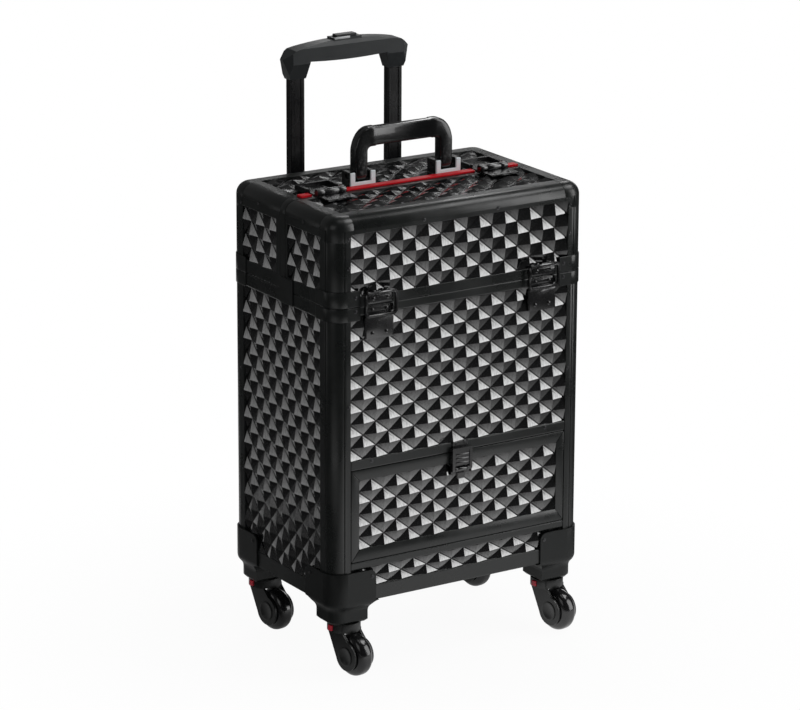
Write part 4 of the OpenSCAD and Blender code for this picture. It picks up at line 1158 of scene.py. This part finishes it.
@dataclass
class Hardware(SubAssembly):
    """Hinges, catches, latch plates and levers."""

    rounding: float = 0.45
    lever_depth: float = 5
    lever_bar: float = 3.0
    lever_cut: float = 3.4
    lever_edge: float = 1.1
    hole_cut: float = 1.6
    claw_up: Pair = (0.4, 2.5)
    claw_share: Pair = (0.25, 0.75)
    claw_edge: float = 0.3
    plate: float = 1.6
    plate_cut: float = 1.6
    plate_edge: float = 0.25
    rim: Pair = (0.8, 1.0)
    rivet: float = 2.1
    rivet_ends: Pair = (0.2, -0.8)
    rivet_steps: Steps = ((0.5, 0.3), (0.5, 0.15))
    rivet_places: Pair = (0.25, 0.75)
    lug_places: Pair = (0.28, 0.72)
    lug_half: float = 2
    lug_edge: float = 0.4
    upper_proud: float = 2.4
    upper_in: float = 2.2
    upper_span: Pair = (2, 12)
    upper_rise: float = 0.8
    upper_rivets: Pair = (-0.5, 8)
    band_gap: Pair = (-1.2, 3.4)
    lower_rise: float = 0.4
    lower_rivets: Pair = (7, -4.6)
    web_low: Triple = (1, 0.3, 2)
    web_high: Triple = (-1, 0, -1)
    web_edge: float = 0.2

    def rivet_pair(self, low: Vector, high: Vector, front: float, height: float) -> list[Object]:
        """Two low domed rivets side by side on a plate's front face.

        Args:
            low: the plate's lowest corner.
            high: its highest corner.
            front: where the face stands.
            height: how high the rivets stand.

        Returns:
            The rivets.
        """
        made = []
        for share in self.rivet_places:
            ends = [at(part_way(low, high, share), front + end, height) for end in self.rivet_ends]
            work = Work.rod("rivet", *ends, self.rivet, RIVET_SIDES).towards(-REAR)
            made.append(work.inset(*self.rivet_steps).done(angle=self.blunt))
        return made

    def stepped_plate(self, low: Vector, high: Vector, rise: float) -> Object:
        """A pressed plate whose middle stands proud of its rim.

        Args:
            low: lowest corner.
            high: highest corner.
            rise: how far its middle stands proud.

        Returns:
            The plate.
        """
        work = Work.box("plate", low, high).edges_along(REAR).bevel(self.plate_cut, 2)
        work.towards(-REAR).inset((self.rim[0], 0), (self.rim[1], rise))
        return work.done(round_by=self.plate_edge, angle=self.crisp)

    def lever(self, side: str) -> None:
        """The sprung ring of one front latch, with cut corners.

        Args:
            side: left or right.
        """
        name = f"latch_ring_{side}"
        low, high = node_box(f"lid_lever_{side}")
        back = low.y + self.lever_depth
        ring = Work.box(name, low, at(high.x, back, high.z)).edges_along(REAR)
        ring = ring.bevel(self.lever_cut, 1).done()
        bar = at(self.lever_bar, -1, self.lever_bar)
        hole = Work.box("hole", low + bar, at(high.x, back, high.z) - bar)
        ring = cut_out(ring, hole.edges_along(REAR).bevel(self.hole_cut, 1).done())
        add_rounding(ring, self.lever_edge, self.crisp, segments=1)
        apply_modifiers(ring)
        smooth(ring, self.sharp)
        starts, ends = (
            (part_way(low, high, share), low.z + up) for share, up in zip(self.claw_share, self.claw_up)
        )
        claw = Work.box("claw", at(starts[0], back - 1, starts[1]), at(ends[0], high.y, ends[1]))
        parts = [ring, claw.done(round_by=self.claw_edge)]
        self.place(join(parts, name), HARDWARE, f"lever_{side}", f"lid_lever_{side}")

    def lid_plate(self, low: Vector, high: Vector, seam: float) -> list[Object]:
        """One latch's plate on the lid, with the lugs that hold its lever.

        Args:
            low: lowest corner of the plate's box.
            high: its highest corner.
            seam: the height of the seam.

        Returns:
            Its parts.
        """
        front = high.y - self.plate - self.upper_proud
        start, end = (seam + up for up in self.upper_span)
        parts = [self.stepped_plate(
            at(low.x + self.upper_in, front, start), at(high.x - self.upper_in, high.y, end),
            self.upper_rise,
        )]
        for share in self.lug_places:
            x = part_way(low, high, share)
            lug = Work.box(
                "lug", at(x - self.lug_half, front, end - 1), at(x + self.lug_half, high.y, high.z)
            )
            parts.append(lug.done(round_by=self.lug_edge))
        out, up = self.upper_rivets
        return parts + self.rivet_pair(low, high, front + out, seam + up)

    def catch(self, low: Vector, high: Vector, claw_z: float) -> list[Object]:
        """One latch's catch on the body, banded and riveted.

        Args:
            low: lowest corner of the catch's box.
            high: its highest corner.
            claw_z: where the lever's claw hooks in.

        Returns:
            Its parts.
        """
        front = high.y - self.plate
        gap = [claw_z + up for up in self.band_gap]
        parts = [
            self.stepped_plate(at(low.x, front, start), at(high.x, high.y, end), self.lower_rise)
            for start, end in ((low.z, gap[0]), (gap[1], high.z))
        ]
        seat = at(low.x, front, low.z)
        web = Work.box("web", seat + Vector(self.web_low), high + Vector(self.web_high))
        parts.append(web.done(round_by=self.web_edge))
        for edge, up in zip((low, high), self.lower_rivets):
            parts += self.rivet_pair(low, high, front - self.lower_rise, edge.z + up)
        return parts

    def build(self) -> None:
        """Builds the front latches and dresses the hinges and the drawer's latch."""
        for side in ("left", "right"):
            self.lever(side)
        seam = (node_box("lid_frame")[0].z + node_box("body_posts")[1].z) / 2
        claw_z = node_box("lid_lever_left")[0].z
        plates = [self.lid_plate(*box, seam) for box in loose_boxes("lid_latch_plates")]
        catches = [self.catch(*box, claw_z) for box in loose_boxes("lid_catches")]
        self.place(join(sum(plates, []), "latch_plates"), HARDWARE, "lid", "lid_latch_plates")
        self.place(join(sum(catches, []), "latch_catches"), HARDWARE, "case", "lid_catches")
        self.dress(
            HARDWARE, "hinge_fixed_leaves", "hinge_lid_leaves", "drawer_keeper",
            "drawer_latch_plate", "drawer_lever", round_by=self.rounding,
        )


@dataclass
class Trolley(SubAssembly):
    """Tubes, sleeves, grip and push button."""

    rounding: float = 0.5
    grip_rounding: float = 1.6
    button_rounding: float = 0.9
    seat_depth: float = 16
    insert_left: float = -18.2
    insert_sink: Pair = (0.5, 1.6)
    insert_size: Triple = (21, 1.5, 2.6)
    insert_edge: float = 0.4

    def build(self) -> None:
        """Dresses the trolley and sets the pale insert into the front of the button's seat."""
        self.dress(TUBE, "trolley_tubes", "trolley_sleeves", round_by=self.rounding)
        self.dress(FOOT, "trolley_brackets", round_by=self.rounding)
        self.dress(GRIP, "trolley_grip", round_by=self.grip_rounding)
        self.dress(BUTTON, "trolley_button", round_by=self.button_rounding)
        low, high = node_box("trolley_button")
        front = (low.y + high.y) / 2 - self.seat_depth / 2
        top = node_box("trolley_grip")[1].z
        start = at(self.insert_left, front - self.insert_sink[0], top - self.insert_sink[1])
        insert = Work.box("button_insert", start, start + Vector(self.insert_size))
        self.place(insert.done(round_by=self.insert_edge, angle=self.crisp), INSERT, "trolley")


@dataclass
class Casters(SubAssembly):
    """Feet, swivel housings, wheels and tabs."""

    foot_rounding: float = 1.2
    fork_rounding: float = 0.8
    tab_rounding: float = 0.5
    wheel_width: float = 20
    wheel_sides: int = 80
    tyre_round: float = 8
    tyre_segments: int = 8
    trail_angle: float = 7
    cheek_face: float = 14
    disc_steps: Steps = ((1.2, 0), (0.8, -0.9), (5.0, -0.3))
    cap_radius: float = 11.5
    cap_ends: Pair = (-0.4, 0.8)
    cap_steps: Steps = ((2.2, 0), (0.8, -0.5))
    cap_sides: int = 48
    cap_edge: float = 0.3

    def wheel(self, corner: str) -> None:
        """A wheel with a full round tyre and a dished disc, and the caps on its axle.

        Args:
            corner: its corner.
        """
        low, high = node_box(f"wheel_{corner}")
        centre, radius = (low + high) / 2, (high.z - low.z) / 2
        turn = math.radians(self.trail_angle)
        axle = at(math.cos(turn), math.sin(turn), 0)
        reach = axle * self.wheel_width / 2
        work = Work.rod(f"tyre_{corner}", centre - reach, centre + reach, radius, self.wheel_sides)
        work.edges(lambda a, b: (a - centre).dot(axle) * (b - centre).dot(axle) > 0)
        work.bevel(self.tyre_round, self.tyre_segments)
        work.faces(lambda c, n: abs(n.dot(axle)) > FLUSH).inset(*self.disc_steps)
        self.place(work.done(angle=self.crisp), WHEEL, f"wheel_{corner}", f"wheel_{corner}")
        caps = []
        for side in SIDES:
            out = axle * side
            ends = [centre + out * (self.cheek_face + end) for end in self.cap_ends]
            cap = Work.rod("cap", *ends, self.cap_radius, self.cap_sides).towards(out)
            caps.append(cap.inset(*self.cap_steps).done(round_by=self.cap_edge, angle=self.sharp))
        self.place(join(caps, f"axle_caps_{corner}"), FORK, f"fork_{corner}")

    def build(self) -> None:
        """Builds the wheels and dresses the rest."""
        self.dress(FOOT, "front_feet", "rear_feet", round_by=self.foot_rounding)
        for corner in CORNERS:
            self.dress(FORK, f"fork_{corner}", round_by=self.fork_rounding)
            self.wheel(corner)
            self.dress(TAB, f"tab_{corner}", round_by=self.tab_rounding)


def direction(azimuth: float, elevation: float) -> Vector:
    """The direction from the case to a place round it, counted in degrees from its front.

    Args:
        azimuth: angle round the case, to the right.
        elevation: angle up from the floor.

    Returns:
        The direction.
    """
    turn, tilt = math.radians(azimuth), math.radians(elevation)
    across = math.cos(tilt)
    return Vector((math.sin(turn) * across, -math.cos(turn) * across, math.sin(tilt)))


@dataclass
class Lamp:
    """A soft lamp that looks at the case. Angles are in degrees and sizes in metres."""

    name: str
    azimuth: float
    elevation: float
    distance: float
    width: float
    height: float
    level: float
    target: Triple = (0.0, 0.0, 0.33)

    def build(self) -> None:
        """Places the lamp, with its power worked out from the light that its face gives off."""
        out = direction(self.azimuth, self.elevation)
        light = bpy.data.lights.new(self.name, "AREA")
        light.shape = "RECTANGLE"
        light.size = self.width
        light.size_y = self.height
        light.energy = self.level * math.pi * self.width * self.height
        lamp = bpy.data.objects.new(self.name, light)
        lamp.location = Vector(self.target) + out * self.distance
        lamp.rotation_euler = out.to_track_quat("Z", "Y").to_euler()
        bpy.context.scene.collection.objects.link(lamp)


@dataclass
class Pool:
    """A soft round pool of painted light on the floor, a glow that only the case's gloss shows, in metres.
    """

    x: float
    y: float
    wide: float
    deep: float
    level: float
    core: float = 0.6
    rim: float = 1.25

    def glow(self, graph: Graph) -> Socket:
        """The pool's level, down to nothing outside it.

        Args:
            graph: the floor's graph.

        Returns:
            The level.
        """
        from_middle = graph.vector("SUBTRACT", graph.place, (self.x, self.y, 0))[0]
        scaled = graph.vector("MULTIPLY", from_middle, (1 / self.wide, 1 / self.deep, 1))[0]
        away = graph.vector("LENGTH", scaled)["Value"]
        return graph.remap(away, self.core, self.rim, self.level, 0.0)


@dataclass
class Studio:
    """Floor, light and camera. The camera's angles and target are the photograph's own."""

    floor_radius: float = 9.0
    floor_grey: tuple[float, float, float, float] = (0.82, 0.82, 0.82, 1)
    floor_white: tuple[float, float, float, float] = (0.15, 0.6, 0.95, 1.0)
    # the dim glow that the case's gloss sees on the floor, a painted reflection
    floor_glow: float = 0.04
    even_level: float = 0.24
    backdrop: tuple[float, float, float, float] = (0.1, 0.7, 0.04, 0.12)
    azimuth: float = -32.661
    elevation: float = 16.551
    roll: float = 0.255
    distance: float = 4.4754
    lens: float = 172.4
    sensor: float = 36
    target_x: float = -9.8
    target_behind_front: float = 112.9
    target_z: float = 336.2
    # pools of painted light on the floor, seen only in the case's gloss
    pools: tuple[Pool, ...] = (
        Pool(0.1, -0.5, 0.4, 0.55, 1.0), Pool(-0.1, 0.9, 0.22, 0.8, 1.0),
        Pool(0.5, -0.36, 0.3, 0.3, 0.35), Pool(-0.95, -0.6, 0.55, 0.38, 0.7),
    )
    lamps: tuple[Lamp, ...] = (
        Lamp("softbox right", 49, 13, 2.6, 1.1, 2.2, 3.6),
        Lamp("softbox high right", 70, 54, 2.6, 1.2, 0.9, 4.5),
        Lamp("softbox left rear", -119, -2, 2.6, 0.5, 1.1, 0.75),
        Lamp("fill left", -70, 24, 2.8, 1.4, 1.4, 0.8),
        Lamp("softbox high rear", 143, 35, 2.6, 0.9, 0.7, 3.5),
        Lamp("softbox rear right", 128, 2, 2.6, 0.7, 1.2, 1.6),
        Lamp("overhead", 10, 78, 2.8, 1.2, 1.2, 0.9),
    )

    def build_floor(self) -> None:
        """Lays the pale round floor, which keeps the shadow but shows as white; to the case's gloss it
        shows as a dim glow with pools of painted light.
        """
        bpy.ops.mesh.primitive_circle_add(vertices=96, radius=self.floor_radius, fill_type="NGON")
        floor = bpy.context.object
        floor.name = "studio_floor"
        material = bpy.data.materials.new("pale floor")
        graph = Graph.of(material)
        matt = graph.add("ShaderNodeBsdfDiffuse", {"Color": self.floor_grey}).outputs[0]
        away = graph.vector("LENGTH", graph.place)["Value"]
        share = graph.times(graph.ray("Camera"), graph.remap(away, *self.floor_white))
        seen = graph.choose(share, matt, graph.white("ShaderNodeEmission", 1.0))
        # Painted reflection: glossy rays see the floor as a dim glow with brighter pools, not as the lit
        # floor
        glow = graph.maths("MAXIMUM", self.floor_glow, *(pool.glow(graph) for pool in self.pools))
        painted_glow = graph.white("ShaderNodeEmission", glow)
        shader = graph.choose(graph.ray("Glossy", "Transmission"), seen, painted_glow)
        graph.add("ShaderNodeOutputMaterial", {"Surface": shader})
        floor.data.materials.append(material)

    def build_world(self) -> None:
        """Fills the room with a low, even light, and shows a white backdrop behind the case."""
        world = bpy.data.worlds.new("studio")
        graph = Graph.of(world)
        rearward = graph.along(graph.given["Generated"], 1)
        levels = (self.even_level, graph.remap(rearward, *self.backdrop), 1.0)
        even, backdrop, white = (graph.white("ShaderNodeBackground", level) for level in levels)
        unseen = graph.choose(graph.ray("Glossy", "Transmission"), even, backdrop)
        shader = graph.choose(graph.ray("Camera"), unseen, white)
        graph.add("ShaderNodeOutputWorld", {"Surface": shader})
        bpy.context.scene.world = world

    def build_camera(self) -> None:
        """Places the camera where the photograph was taken from."""
        out, roll = direction(self.azimuth, self.elevation), math.radians(self.roll)
        right = UP.cross(out).normalized()
        up = out.cross(right)
        leaning_right = right * math.cos(roll) + up * math.sin(roll)
        leaning_up = up * math.cos(roll) - right * math.sin(roll)
        camera = bpy.data.objects.new("camera", bpy.data.cameras.new("camera"))
        camera.data.lens = self.lens
        camera.data.sensor_width = self.sensor
        camera.data.sensor_fit = "HORIZONTAL"
        axes = Matrix((leaning_right, leaning_up, out)).transposed()
        front = node_box("body_posts")[0].y
        target = at(self.target_x, front + self.target_behind_front, self.target_z) * MM
        camera.matrix_world = Matrix.Translation(target + out * self.distance) @ axes.to_4x4()
        bpy.context.scene.collection.objects.link(camera)
        bpy.context.scene.camera = camera

    def build(self) -> None:
        """Builds the studio."""
        self.build_floor()
        self.build_world()
        self.build_camera()
        for lamp in self.lamps:
            lamp.build()
        bpy.context.scene.view_settings.view_transform = "Standard"


def main() -> None:
    """Builds the object's groups in order, then the studio."""
    groups: list[SubAssembly] = [Shell(), Rivets(), CarryHandle(), Hardware(), Trolley(), Casters()]
    for group in groups:
        log.info("building %s", type(group).__name__)
        group.build()
    Studio().build()


if __name__ == "__main__":
    logging.basicConfig(level=logging.INFO, format="%(message)s")
    main()
